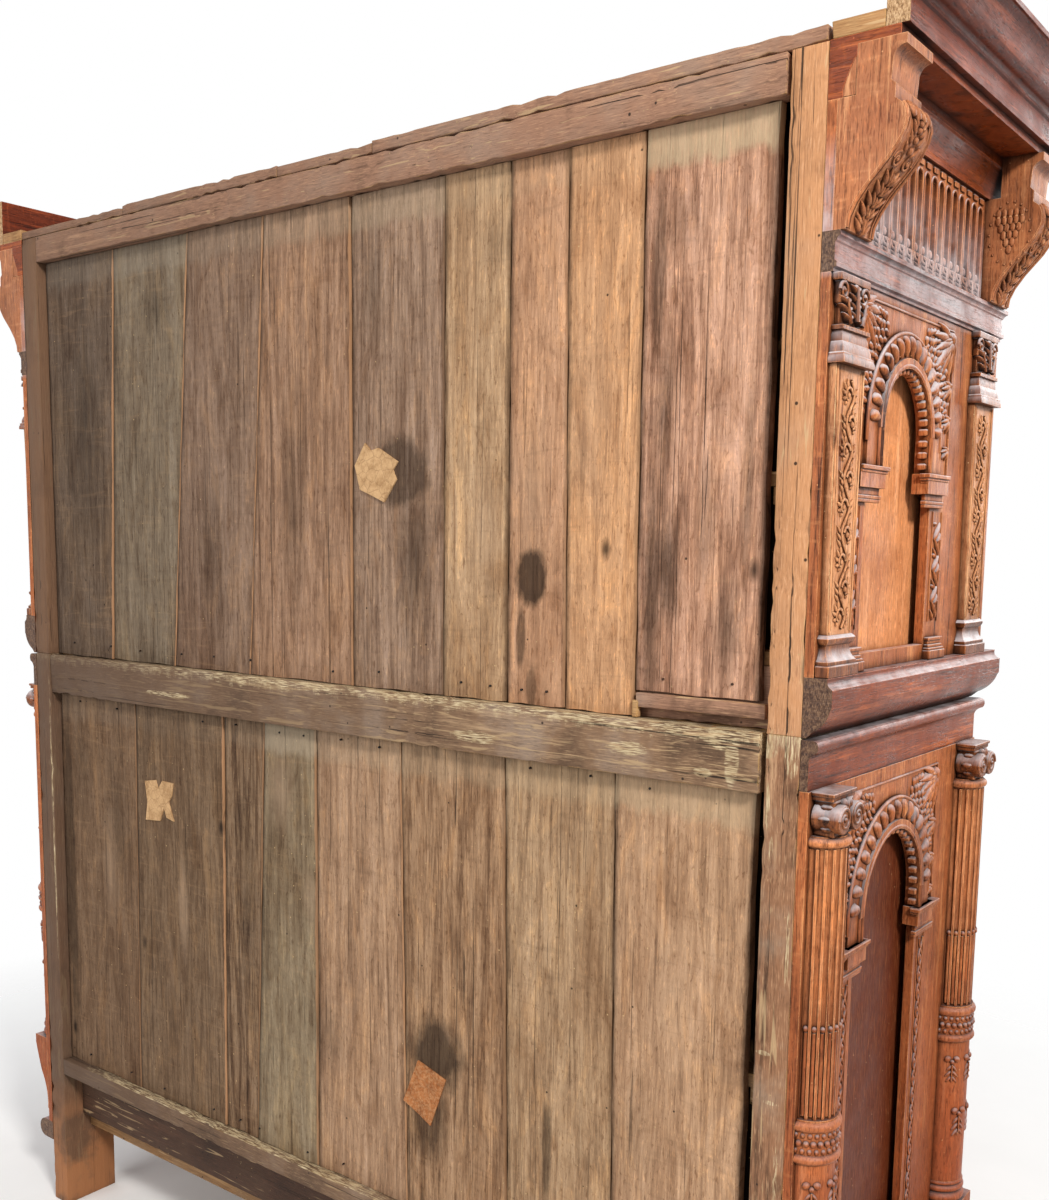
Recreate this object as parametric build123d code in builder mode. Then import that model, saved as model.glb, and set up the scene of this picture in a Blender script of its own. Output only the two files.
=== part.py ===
from build123d import *

import os

# Court cupboard in two cases: front faces -Y, +Z is up, millimetres.
# The origin lies on the floor, under the middle of the whole.

# ---- overall sizes -------------------------------------------------------------------------
CASE_WIDTH = 1836.0
CASE_DEPTH = 654.0
LOWER_HEIGHT = 1280.0
CORNICE_PROJECTION = 154.0

# ---- timber sizes --------------------------------------------------------------------------
REAR_POST_WIDTH = 52.0
REAR_POST_DEPTH = 127.0
FRONT_POST_WIDTH = 104.0
FRONT_POST_DEPTH = 84.0
STILE_WIDTH = 108.0
RAIL_THICKNESS = 40.0
FACING = 14.0
BOARD_THICKNESS = 16.0
BOARD_RECESS = 18.0
PANEL_THICKNESS = 12.0
PANEL_RECESS = 12.0
SHELF_THICKNESS = 20.0
HAIRLINE = 0.2
BOARD_GAP = 1.5

# ---- lower case, from the floor up ---------------------------------------------------------
FOOT_HEIGHT = 142.0
FOOT_RADIUS = 58.0
BEAD_HEIGHT = 43.0
BEAD_PROJECTION = 52.0
BASE_RAIL = 50.0
DRAWER_OPENING = 130.0
MIDDLE_RAIL = 40.0
LOWER_TOP_RAIL = 85.0
CASE_CORNICE_HEIGHT = 73.0
CASE_CORNICE_PROJECTION = 22.5
SIDE_BASE_RAIL = 258.0
BACK_BASE_SETBACK = 46.0
BACK_BASE_DROP = 110.0
BACK_BASE_THICKNESS = 20.0
BACK_BOTTOM_RAIL = 37.0
PEDESTAL_HEIGHT = 171.0
PEDESTAL_LIFT = 29.0
PEDESTAL_WIDTH = 92.0
COLUMN_REACH = 58.0
COLUMN_RADIUS = 38.0
CAPITAL_HEIGHT = 50.0
ABACUS_HEIGHT = 11.0

# ---- upper case ----------------------------------------------------------------------------
SILL_HEIGHT = 81.0
SILL_RAIL = 109.0
UPPER_DOOR_OPENING = 490.0
UPPER_BACK_RAIL = 52.0
UPPER_SIDE_BASE_RAIL = 100.0
UPPER_SIDE_TOP_RAIL = 300.0
PILASTER_BASE = 56.0
PILASTER_TOP_WIDTH = 90.0
PILASTER_FOOT_WIDTH = 74.0
PILASTER_THICKNESS = 11.0
PILASTER_CAPITAL = 113.0
ARCHITRAVE_HEIGHT = 50.0
FRIEZE_HEIGHT = 158.0
BED_HEIGHT = 60.0
SOFFIT_THICKNESS = 12.0
SOFFIT_PROJECTION = 92.0
CROWN_HEIGHT = 90.0
CROWN_INNER = 72.0
CORONA_PROJECTION = 102.0
CORONA_HEIGHT = 33.0
CONSOLE_WIDTH = 85.0
CONSOLE_REACH = 103.0
FLUTE_PITCH = 29.0
FLUTE_WIDTH = 20.0
FLUTE_DEPTH = 5.0
TOP_BOARD = 22.0

# ---- arches --------------------------------------------------------------------------------
JAMB_HALF = 125.0
IMPOST_HEIGHT = 30.0
ARCH_RING = 48.0
ARCH_RELIEF = 10.0
UPPER_ARCH_RADIUS = 90.0
UPPER_ARCH_CENTRE = 419.0
UPPER_IMPOST_TOP = 365.0
UPPER_ARCH_SILL = 105.0
LOWER_ARCH_RADIUS = 112.0
LOWER_ARCH_DROP = 285.0
LOWER_IMPOST_DROP = 321.0
LOWER_ARCH_SILL = 440.0
SIDE_ARCH_FROM_REAR_UPPER = 265.0
SIDE_ARCH_FROM_REAR_LOWER = 300.0

# ---- doors, drawers and ironwork -----------------------------------------------------------
DOOR_GAP = 3.0
DOOR_THICKNESS = 30.0
DOOR_STILE = 60.0
UPPER_DOOR_RAIL = 45.0
LOWER_DOOR_RAIL = 60.0
HINGE_OFFSET = 6.0
KNUCKLE_RADIUS = 5.0
KNUCKLE_LENGTH = 14.0
HINGE_PIN_RADIUS = 2.5
PIN_FIT = 0.06
LEAF_THICKNESS = 1.2
HINGE_INSET = 135.0
BOLT_CLEARANCE = 0.4
KEY_RADIUS = 3.0
KEY_SETBACK = 30.0
LOCK_WIDTH = 50.0
LOCK_HEIGHT = 76.0
LOCK_DEPTH = 20.0
LOCK_WALL = 2.0
KNOB_RADIUS = 17.0
KNOB_LENGTH = 30.0
TENON_RADIUS = 7.0
TENON_FIT = 0.05
DRAWER_WALL = 12.0
DRAWER_FRONT = 22.0
DRAWER_DEPTH = 562.0
DRAWER_SIDE_HEIGHT = 108.0
DRAWER_BOTTOM = 8.0

# ---- derived places ------------------------------------------------------------------------
HALF_W = CASE_WIDTH / 2
REAR_Y = (CASE_DEPTH + CORNICE_PROJECTION) / 2
FRONT_Y = REAR_Y - CASE_DEPTH
INNER_X = HALF_W - REAR_POST_WIDTH
POST_IN_X = HALF_W - FRONT_POST_WIDTH
POST_X = HALF_W - FRONT_POST_WIDTH / 2
STILE_X = STILE_WIDTH / 2
FRONT_POST_BACK = FRONT_Y + FRONT_POST_DEPTH
REAR_POST_FRONT = REAR_Y - REAR_POST_DEPTH
RAIL_BACK = FRONT_Y + RAIL_THICKNESS
BACK_RAIL = BOARD_THICKNESS + BOARD_RECESS
BACK_IN_Y = REAR_Y - BACK_RAIL

Z_BASE = FOOT_HEIGHT + BEAD_HEIGHT
Z_DRAWER = FOOT_HEIGHT + BASE_RAIL
Z_DRAWER_TOP = Z_DRAWER + DRAWER_OPENING
Z_FLOOR = Z_DRAWER_TOP + MIDDLE_RAIL
Z_LOWER_HEAD = LOWER_HEIGHT - LOWER_TOP_RAIL
Z_CASE_CORNICE = LOWER_HEIGHT - CASE_CORNICE_HEIGHT
Z_BACK_BOTTOM_TOP = Z_FLOOR - 10
Z_BACK_BOTTOM = Z_BACK_BOTTOM_TOP - BACK_BOTTOM_RAIL
Z_PEDESTAL = Z_BASE + PEDESTAL_LIFT
Z_COLUMN = Z_PEDESTAL + PEDESTAL_HEIGHT
Z_CAPITAL = Z_CASE_CORNICE - ABACUS_HEIGHT - CAPITAL_HEIGHT

Z_SILL = LOWER_HEIGHT + SILL_HEIGHT
Z_UPPER_FLOOR = LOWER_HEIGHT + SILL_RAIL
Z_UPPER_HEAD = Z_UPPER_FLOOR + UPPER_DOOR_OPENING
Z_ARCHITRAVE = Z_UPPER_HEAD + 1
Z_FRIEZE = Z_ARCHITRAVE + ARCHITRAVE_HEIGHT
Z_BED = Z_FRIEZE + FRIEZE_HEIGHT
Z_SOFFIT = Z_BED + BED_HEIGHT
Z_TOP = Z_SOFFIT + SOFFIT_THICKNESS
Z_LOWER_SHELF = (Z_FLOOR + Z_LOWER_HEAD) / 2
Z_UPPER_SHELF = (Z_UPPER_FLOOR + Z_UPPER_HEAD) / 2
SHELF_FRONT = RAIL_BACK + 20

HINGE_X = POST_IN_X - DOOR_GAP / 2
HINGE_Y = FRONT_Y - FACING - HINGE_OFFSET
DOOR_IN_X = STILE_X + DOOR_GAP
DOOR_OUT_X = POST_IN_X - DOOR_GAP
DOOR_MID_X = (DOOR_IN_X + DOOR_OUT_X) / 2
DOOR_BACK = FRONT_Y + DOOR_THICKNESS

# Working planes: the front face and the +X side face of the case, seen from outside.
FRONT_FACE = Plane(origin=(0, FRONT_Y, 0), x_dir=(1, 0, 0), z_dir=(0, -1, 0))
SIDE_FACE = Plane(origin=(HALF_W, REAR_Y, 0), x_dir=(0, 1, 0), z_dir=(1, 0, 0))
MITRE = Plane(origin=(HALF_W, FRONT_Y, 0), x_dir=(1, -1, 0), z_dir=(1, 1, 0))

# Stations of the engaged columns and pilasters: local -Y points out of the case.
SIDE_REAR_MIDDLE = 46.0
SIDE_FRONT_MIDDLE = 612.0
FRONT_STATIONS = [Location((x, FRONT_Y, 0)) for x in (-POST_X, 0, POST_X)]
SIDE_STATIONS = [
    Location((s * HALF_W, REAR_Y - back, 0), (0, 0, 90 * s))
    for s in (-1, 1)
    for back in (SIDE_REAR_MIDDLE, SIDE_FRONT_MIDDLE)
]
STATIONS = FRONT_STATIONS + SIDE_STATIONS

os.makedirs("parts", exist_ok=True)


def save(piece, label):
    """Name one finished piece and write it."""
    piece.label = label
    export_step(piece, f"parts/{label}.step")


def block(x0, x1, y0, y1, z0, z1, mode=Mode.ADD):
    """Axis-aligned timber between two corners, inside the current part."""
    with Locations(((x0 + x1) / 2, (y0 + y1) / 2, (z0 + z1) / 2)):
        Box(abs(x1 - x0), abs(y1 - y0), abs(z1 - z0), mode=mode)


def wrap_moulding(label, section):
    """One moulding round the left side, the front and the right side, mitred at the corners.

    The section's x is the projection from the case and its y is the height.
    """
    reach = section.bounding_box().max.X
    slit = HAIRLINE / 2
    with BuildPart() as side_run:
        with BuildSketch(Plane(origin=(HALF_W, REAR_Y, 0), x_dir=(1, 0, 0), z_dir=(0, -1, 0))):
            add(section)
        extrude(amount=CASE_DEPTH + reach)
        split(bisect_by=MITRE.offset(slit), keep=Keep.TOP)
        mirror(about=Plane.YZ)
    with BuildPart() as front_run:
        with BuildSketch(Plane(origin=(0, FRONT_Y, 0), x_dir=(0, -1, 0), z_dir=(-1, 0, 0))):
            add(section)
        extrude(amount=HALF_W + reach, both=True)
        split(bisect_by=MITRE.offset(-slit), keep=Keep.BOTTOM)
        mirror(about=Plane.YZ, mode=Mode.INTERSECT)
    with BuildPart() as runs:
        add(side_run.part)
        add(front_run.part)
    save(runs.part, label)


# ---- posts and rails -----------------------------------------------------------------------
with BuildPart() as lower_posts:
    with BuildSketch(Plane.XY):
        with Locations(*[(s * (HALF_W + INNER_X) / 2, REAR_Y - REAR_POST_DEPTH / 2) for s in (-1, 1)]):
            Rectangle(REAR_POST_WIDTH, REAR_POST_DEPTH)
    extrude(amount=LOWER_HEIGHT)
    with BuildSketch(Plane.XY.offset(FOOT_HEIGHT)):
        with Locations(*[(s * POST_X, FRONT_Y + FRONT_POST_DEPTH / 2) for s in (-1, 1)]):
            Rectangle(FRONT_POST_WIDTH, FRONT_POST_DEPTH)
    extrude(amount=LOWER_HEIGHT - FOOT_HEIGHT)
    block(-STILE_X, STILE_X, FRONT_Y, RAIL_BACK, Z_DRAWER, Z_LOWER_HEAD)
save(lower_posts.part, "lower_posts")

with BuildPart() as lower_rails:
    # front base rail, middle rails above the drawers, and top rail
    block(-POST_IN_X, POST_IN_X, FRONT_Y, RAIL_BACK, FOOT_HEIGHT, Z_DRAWER)
    block(-POST_IN_X, -STILE_X, FRONT_Y, RAIL_BACK, Z_DRAWER_TOP, Z_FLOOR)
    block(STILE_X, POST_IN_X, FRONT_Y, RAIL_BACK, Z_DRAWER_TOP, Z_FLOOR)
    block(-POST_IN_X, POST_IN_X, FRONT_Y, RAIL_BACK, Z_LOWER_HEAD, LOWER_HEIGHT)
    # side base and top rails
    for s in (-1, 1):
        block(s * INNER_X, s * HALF_W, FRONT_POST_BACK, REAR_POST_FRONT, FOOT_HEIGHT, FOOT_HEIGHT + SIDE_BASE_RAIL)
        block(s * INNER_X, s * HALF_W, FRONT_POST_BACK, REAR_POST_FRONT, Z_LOWER_HEAD, LOWER_HEIGHT)
    # back top rail, back bottom rail and the base board set in below it
    block(-INNER_X, INNER_X, BACK_IN_Y, REAR_Y, Z_LOWER_HEAD, LOWER_HEIGHT)
    block(-INNER_X, INNER_X, BACK_IN_Y, REAR_Y, Z_BACK_BOTTOM, Z_BACK_BOTTOM_TOP)
    base_y = REAR_Y - BACK_BASE_SETBACK
    block(-INNER_X, INNER_X, base_y - BACK_BASE_THICKNESS, base_y, Z_BACK_BOTTOM - BACK_BASE_DROP, Z_BACK_BOTTOM)
save(lower_rails.part, "lower_rails")

with BuildPart() as upper_posts:
    with BuildSketch(Plane.XY.offset(LOWER_HEIGHT)):
        with Locations(*[(s * (HALF_W + INNER_X) / 2, REAR_Y - REAR_POST_DEPTH / 2) for s in (-1, 1)]):
            Rectangle(REAR_POST_WIDTH, REAR_POST_DEPTH)
        with Locations(*[(s * POST_X, FRONT_Y + FRONT_POST_DEPTH / 2) for s in (-1, 1)]):
            Rectangle(FRONT_POST_WIDTH, FRONT_POST_DEPTH)
    extrude(amount=Z_TOP - LOWER_HEIGHT)
    block(-STILE_X, STILE_X, FRONT_Y, RAIL_BACK, Z_UPPER_FLOOR, Z_UPPER_HEAD)
save(upper_posts.part, "upper_posts")

with BuildPart() as upper_rails:
    block(-POST_IN_X, POST_IN_X, FRONT_Y, RAIL_BACK, LOWER_HEIGHT, Z_UPPER_FLOOR)
    block(-POST_IN_X, POST_IN_X, FRONT_Y, RAIL_BACK, Z_UPPER_HEAD, Z_TOP)
    z_side_low = LOWER_HEIGHT + UPPER_SIDE_BASE_RAIL
    z_side_high = Z_TOP - UPPER_SIDE_TOP_RAIL
    for s in (-1, 1):
        block(s * INNER_X, s * HALF_W, FRONT_POST_BACK, REAR_POST_FRONT, LOWER_HEIGHT, z_side_low)
        block(s * INNER_X, s * HALF_W, FRONT_POST_BACK, REAR_POST_FRONT, z_side_high, Z_TOP)
    block(-INNER_X, INNER_X, BACK_IN_Y, REAR_Y, Z_TOP - UPPER_BACK_RAIL, Z_TOP)
    block(-INNER_X, INNER_X, BACK_IN_Y - RAIL_THICKNESS, BACK_IN_Y, LOWER_HEIGHT, Z_UPPER_FLOOR - SHELF_THICKNESS)
save(upper_rails.part, "upper_rails")

# ---- back boards: joints as shares of the half width, at the top and at the foot ------------
UPPER_JOINTS = [
    (0.996, 0.996), (0.719, 0.761), (0.446, 0.518), (0.194, 0.253), (-0.060, -0.062),
    (-0.304, -0.305), (-0.457, -0.460), (-0.583, -0.594), (-0.738, -0.741), (-0.999, -0.999),
]
LOWER_JOINTS = [
    (0.991, 0.999), (0.677, 0.690), (0.350, 0.361), (0.211, 0.252), (0.049, 0.051),
    (-0.195, -0.215), (-0.458, -0.477), (-0.704, -0.718), (-0.999, -0.991),
]


def back_boards(joints, foot, head):
    """Vertical boards of unequal width between two rails."""
    board_plane = Plane(origin=(0, REAR_Y - BOARD_RECESS, 0), x_dir=(1, 0, 0), z_dir=(0, -1, 0))
    half = BOARD_GAP / 2
    with BuildPart() as boards:
        for (top_a, foot_a), (top_b, foot_b) in zip(joints, joints[1:]):
            with BuildSketch(board_plane):
                Polygon(
                    (top_a * INNER_X - half, head),
                    (top_b * INNER_X + half, head),
                    (foot_b * INNER_X + half, foot),
                    (foot_a * INNER_X - half, foot),
                    align=None,
                )
            extrude(amount=BOARD_THICKNESS)
    return boards.part


save(back_boards(UPPER_JOINTS, LOWER_HEIGHT, Z_TOP - UPPER_BACK_RAIL), "upper_back_boards")
save(back_boards(LOWER_JOINTS, Z_BACK_BOTTOM_TOP, Z_LOWER_HEAD), "lower_back_boards")

# ---- side panels and carved side arcades ---------------------------------------------------
panel_x = HALF_W - PANEL_RECESS
with BuildPart() as side_panels:
    for s in (-1, 1):
        block(s * (panel_x - PANEL_THICKNESS), s * panel_x, FRONT_POST_BACK, REAR_POST_FRONT,
              FOOT_HEIGHT + SIDE_BASE_RAIL, Z_LOWER_HEAD)
        block(s * (panel_x - PANEL_THICKNESS), s * panel_x, FRONT_POST_BACK, REAR_POST_FRONT,
              z_side_low, z_side_high)
save(side_panels.part, "side_panels")


def arch_cut(face, middles, sill, impost, centre, radius):
    """Cut arched openings through a facing whose back lies on the face plane."""
    with BuildSketch(face) as bays:
        with Locations(*[(m, (sill + impost) / 2) for m in middles]):
            Rectangle(2 * JAMB_HALF, impost - sill)
        with Locations(*[(m, (impost + centre) / 2) for m in middles]):
            Rectangle(2 * radius, centre - impost)
        with Locations(*[(m, centre) for m in middles]):
            Circle(radius)
    extrude(bays.sketch, amount=FACING, mode=Mode.SUBTRACT)


def arch_relief(face, middles, impost, centre, radius, jamb_outer):
    """Raise the ring of lobes round each arch and the imposts that carry it."""
    outer = radius + ARCH_RING
    for m in middles:
        with BuildSketch(face.offset(FACING)) as lobes:
            with Locations((m, centre)):
                Circle(outer)
                Circle(radius, mode=Mode.SUBTRACT)
                with Locations((0, -outer / 2)):
                    Rectangle(2 * outer, outer, mode=Mode.SUBTRACT)
            with Locations((m, (impost + centre) / 2)):
                Rectangle(2 * outer, centre - impost)
                Rectangle(2 * radius, centre - impost, mode=Mode.SUBTRACT)
        extrude(lobes.sketch, amount=ARCH_RELIEF * 0.6)
        with BuildSketch(face.offset(FACING)) as inner_ring:
            with Locations((m, centre)):
                Circle(radius + ARCH_RING * 0.3)
                Circle(radius, mode=Mode.SUBTRACT)
                with Locations((0, -outer / 2)):
                    Rectangle(2 * outer, outer, mode=Mode.SUBTRACT)
        extrude(inner_ring.sketch, amount=ARCH_RELIEF)
        for side in (-1, 1):
            low = m + side * (radius - 7)
            high = m + side * jamb_outer
            with BuildSketch(face) as impost_block:
                with Locations(((low + high) / 2, impost - IMPOST_HEIGHT / 2)):
                    Rectangle(abs(high - low), IMPOST_HEIGHT)
            extrude(impost_block.sketch, amount=FACING + ARCH_RELIEF + 2)


def side_arcade(low, high, sill, impost, centre, radius, from_rear):
    """Carved facing of one whole side with a single arch, and its mirror image."""
    with BuildPart() as arcade:
        block(HALF_W, HALF_W + FACING, FRONT_Y - FACING, REAR_Y, low, high)
        arch_cut(SIDE_FACE, [-from_rear], sill, impost, centre, radius)
        arch_relief(SIDE_FACE, [-from_rear], impost, centre, radius, JAMB_HALF + 45)
        mirror(about=Plane.YZ)
    return arcade.part


upper_arch = (
    LOWER_HEIGHT + UPPER_IMPOST_TOP, LOWER_HEIGHT + UPPER_ARCH_CENTRE, UPPER_ARCH_RADIUS,
)
lower_arch = (
    LOWER_HEIGHT - LOWER_IMPOST_DROP, LOWER_HEIGHT - LOWER_ARCH_DROP, LOWER_ARCH_RADIUS,
)
upper_side = side_arcade(
    Z_SILL, Z_ARCHITRAVE, LOWER_HEIGHT + UPPER_ARCH_SILL, *upper_arch, SIDE_ARCH_FROM_REAR_UPPER,
)
lower_side = side_arcade(
    Z_BASE, Z_CASE_CORNICE, LOWER_ARCH_SILL, *lower_arch, SIDE_ARCH_FROM_REAR_LOWER,
)
with BuildPart() as side_arcades:
    add(upper_side)
    add(lower_side)
save(side_arcades.part, "side_arcades")

with BuildPart() as front_facings:
    for low, high in ((Z_BASE, Z_CASE_CORNICE), (Z_SILL, Z_ARCHITRAVE)):
        for s in (-1, 1):
            block(s * POST_IN_X, s * HALF_W, FRONT_Y - FACING, FRONT_Y, low, high)
        block(-STILE_X, STILE_X, FRONT_Y - FACING, FRONT_Y, low, high)
save(front_facings.part, "front_facings")

# ---- lower case: engaged fluted columns ----------------------------------------------------
# z levels of one column, from its pedestal up
Z_DRUM = Z_COLUMN + 40
Z_RING_LOW = Z_DRUM + 257
Z_BAND = Z_RING_LOW + 15
Z_RING_HIGH = Z_BAND + 30
Z_SHAFT = Z_RING_HIGH + 20
COLUMN_AXIS = Axis((0, -FACING, 0), (0, 0, -1))
COLUMN_SECTION = Plane(origin=(0, -FACING, 0), x_dir=(1, 0, 0), z_dir=(0, -1, 0))
FLUTES = 10

with BuildPart() as column:
    with BuildSketch(COLUMN_SECTION):
        for low, high, radius in (
            (Z_COLUMN, Z_DRUM, COLUMN_RADIUS - 1),
            (Z_DRUM, Z_RING_LOW, COLUMN_RADIUS + 1),
            (Z_RING_LOW, Z_RING_HIGH + 20, COLUMN_RADIUS + 3),
            (Z_SHAFT, Z_CAPITAL - 17, COLUMN_RADIUS - 5),
            (Z_CAPITAL - 17, Z_CAPITAL, COLUMN_RADIUS - 2),
        ):
            with Locations((0, low)):
                Rectangle(radius, high - low, align=(Align.MIN, Align.MIN))
        for middle, radius, bulge in (
            (Z_COLUMN + 10.5, COLUMN_REACH - FACING - 9.5, 9.5),
            (Z_COLUMN + 27, COLUMN_RADIUS - 1, 6),
            (Z_COLUMN + 37, COLUMN_RADIUS - 1, 4),
            (Z_RING_LOW + 7.5, COLUMN_RADIUS + 1, 7),
            (Z_RING_HIGH + 10, COLUMN_RADIUS, 8),
            (Z_CAPITAL - 8.5, COLUMN_RADIUS - 3, 7),
        ):
            with Locations((radius, middle)):
                Circle(bulge)
    revolve(axis=COLUMN_AXIS, revolution_arc=180)
    # fluted shaft: ridges between round-bottomed channels
    with BuildSketch(Plane.XY.offset(Z_SHAFT)):
        with Locations((0, -FACING)):
            Circle(COLUMN_RADIUS)
            with Locations((0, COLUMN_RADIUS)):
                Rectangle(2 * COLUMN_RADIUS, 2 * COLUMN_RADIUS, mode=Mode.SUBTRACT)
            with PolarLocations(COLUMN_RADIUS + 0.5, FLUTES, start_angle=-171, angular_range=162, endpoint=True):
                Circle(4.0, mode=Mode.SUBTRACT)
    extrude(amount=Z_CAPITAL - 17 - Z_SHAFT)

with BuildPart() as lower_columns:
    with Locations(*STATIONS):
        add(column.part)
save(lower_columns.part, "lower_columns")

# capital: two rolls lying outward under a square abacus
ROLL_RADIUS = 20.0
ROLL_SPREAD = 21.0
with BuildPart() as capital:
    block(-32, 32, -COLUMN_REACH + 8, -FACING, Z_CAPITAL, Z_CASE_CORNICE - ABACUS_HEIGHT)
    block(-36, 36, -45, -FACING, Z_CASE_CORNICE - ABACUS_HEIGHT, Z_CASE_CORNICE)
    with BuildSketch(Plane(origin=(0, -FACING, 0), x_dir=(1, 0, 0), z_dir=(0, -1, 0))):
        with Locations((-ROLL_SPREAD, Z_CAPITAL + 25), (ROLL_SPREAD, Z_CAPITAL + 25)):
            Circle(ROLL_RADIUS)
    extrude(amount=COLUMN_REACH - FACING)
with BuildPart() as lower_capitals:
    with Locations(*STATIONS):
        add(capital.part)
save(lower_capitals.part, "lower_capitals")

# pedestal: square plinth over an ogee bracket
with BuildPart() as pedestal:
    with BuildSketch(Plane(origin=(-PEDESTAL_WIDTH / 2, 0, 0), x_dir=(0, -1, 0), z_dir=(1, 0, 0))):
        with BuildLine():
            # the sketch's second axis points down on this plane, so heights are negative
            Line((FACING, -Z_COLUMN), (COLUMN_REACH, -Z_COLUMN))
            Line((COLUMN_REACH, -Z_COLUMN), (COLUMN_REACH, -Z_COLUMN + 20))
            ThreePointArc(
                (COLUMN_REACH, -Z_COLUMN + 20),
                (COLUMN_REACH - 11, -Z_COLUMN + 58),
                (38, -Z_COLUMN + 84),
            )
            ThreePointArc((38, -Z_COLUMN + 84), (22, -Z_COLUMN + 118), (FACING + 3, -Z_PEDESTAL))
            Line((FACING + 3, -Z_PEDESTAL), (FACING, -Z_PEDESTAL))
            Line((FACING, -Z_PEDESTAL), (FACING, -Z_COLUMN))
        make_face()
    extrude(amount=PEDESTAL_WIDTH)
with BuildPart() as column_pedestals:
    with Locations(*STATIONS):
        add(pedestal.part)
save(column_pedestals.part, "column_pedestals")

# ---- mouldings that wrap three sides -------------------------------------------------------
with BuildSketch() as case_cornice_section:
    with BuildLine():
        nose = CASE_CORNICE_PROJECTION
        Polyline((0, LOWER_HEIGHT - 3), (0, Z_CASE_CORNICE), (12, Z_CASE_CORNICE), (12, LOWER_HEIGHT - 35))
        ThreePointArc((12, LOWER_HEIGHT - 35), (14, LOWER_HEIGHT - 26), (nose, LOWER_HEIGHT - 20))
        ThreePointArc((nose, LOWER_HEIGHT - 20), (nose + 2.5, LOWER_HEIGHT - 12), (nose, LOWER_HEIGHT - 5))
        Polyline((nose, LOWER_HEIGHT - 5), (nose - 4, LOWER_HEIGHT - 3), (0, LOWER_HEIGHT - 3))
    make_face()
wrap_moulding("lower_cornice", case_cornice_section.sketch)

with BuildSketch() as bead_section:
    with BuildLine():
        Line((BEAD_PROJECTION - BEAD_HEIGHT / 2, Z_BASE), (0, Z_BASE))
        Line((0, Z_BASE), (0, FOOT_HEIGHT))
        Line((0, FOOT_HEIGHT), (BEAD_PROJECTION - BEAD_HEIGHT / 2, FOOT_HEIGHT))
        ThreePointArc(
            (BEAD_PROJECTION - BEAD_HEIGHT / 2, FOOT_HEIGHT),
            (BEAD_PROJECTION, FOOT_HEIGHT + BEAD_HEIGHT / 2),
            (BEAD_PROJECTION - BEAD_HEIGHT / 2, Z_BASE),
        )
    make_face()
wrap_moulding("base_mouldings", bead_section.sketch)

with BuildSketch() as sill_section:
    with BuildLine():
        z = LOWER_HEIGHT
        Polyline((34, Z_SILL), (0, Z_SILL), (0, z), (7, z), (15, z + 8))
        ThreePointArc((15, z + 8), (31, z + 21), (39, z + 38))
        Polyline((39, z + 38), (41, z + 42), (41, z + 66), (39, z + 68))
        ThreePointArc((39, z + 68), (35, z + 72), (34, Z_SILL))
    make_face()
wrap_moulding("sill_moulding", sill_section.sketch)

with BuildSketch() as architrave_section:
    with BuildLine():
        z = Z_ARCHITRAVE
        Polyline(
            (0, z + 50), (0, z), (17, z), (17, z + 4), (21, z + 6), (21, z + 12), (18, z + 14),
            (18, z + 36), (20, z + 38),
        )
        ThreePointArc((20, z + 38), (22, z + 42), (25, z + 44))
        Polyline((25, z + 44), (25, z + 50), (0, z + 50))
    make_face()
wrap_moulding("architrave", architrave_section.sketch)

with BuildSketch() as bed_section:
    with BuildLine():
        z = Z_BED
        Polyline((0, Z_SOFFIT), (0, z), (20, z), (20, z + 10))
        ThreePointArc((20, z + 10), (26, z + 26), (34, z + 44))
        Polyline((34, z + 44), (37, z + 46), (37, Z_SOFFIT), (0, Z_SOFFIT))
    make_face()
wrap_moulding("bed_moulding", bed_section.sketch)

with BuildSketch() as soffit_section:
    with Locations((0, Z_SOFFIT)):
        Rectangle(SOFFIT_PROJECTION, SOFFIT_THICKNESS, align=(Align.MIN, Align.MIN))
wrap_moulding("cornice_soffit", soffit_section.sketch)

with BuildSketch() as crown_section:
    with BuildLine():
        z = Z_TOP + CORONA_HEIGHT
        p = CORONA_PROJECTION
        edge = CORNICE_PROJECTION
        head = Z_TOP + CROWN_HEIGHT
        Polyline((edge, head - 7), (edge, head), (CROWN_INNER, head), (CROWN_INNER, Z_TOP), (p, Z_TOP), (p, z))
        Line((p, z), (p + 4, z + 2))
        ThreePointArc((p + 4, z + 2), (p + 5, z + 7), (p + 10, z + 10))
        ThreePointArc((p + 10, z + 10), (p + 23, z + 15), (p + 30, z + 28))
        ThreePointArc((p + 30, z + 28), (p + 37, z + 41), (edge - 4, head - 7))
        Line((edge - 4, head - 7), (edge, head - 7))
    make_face()
wrap_moulding("cornice_crown", crown_section.sketch)

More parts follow.
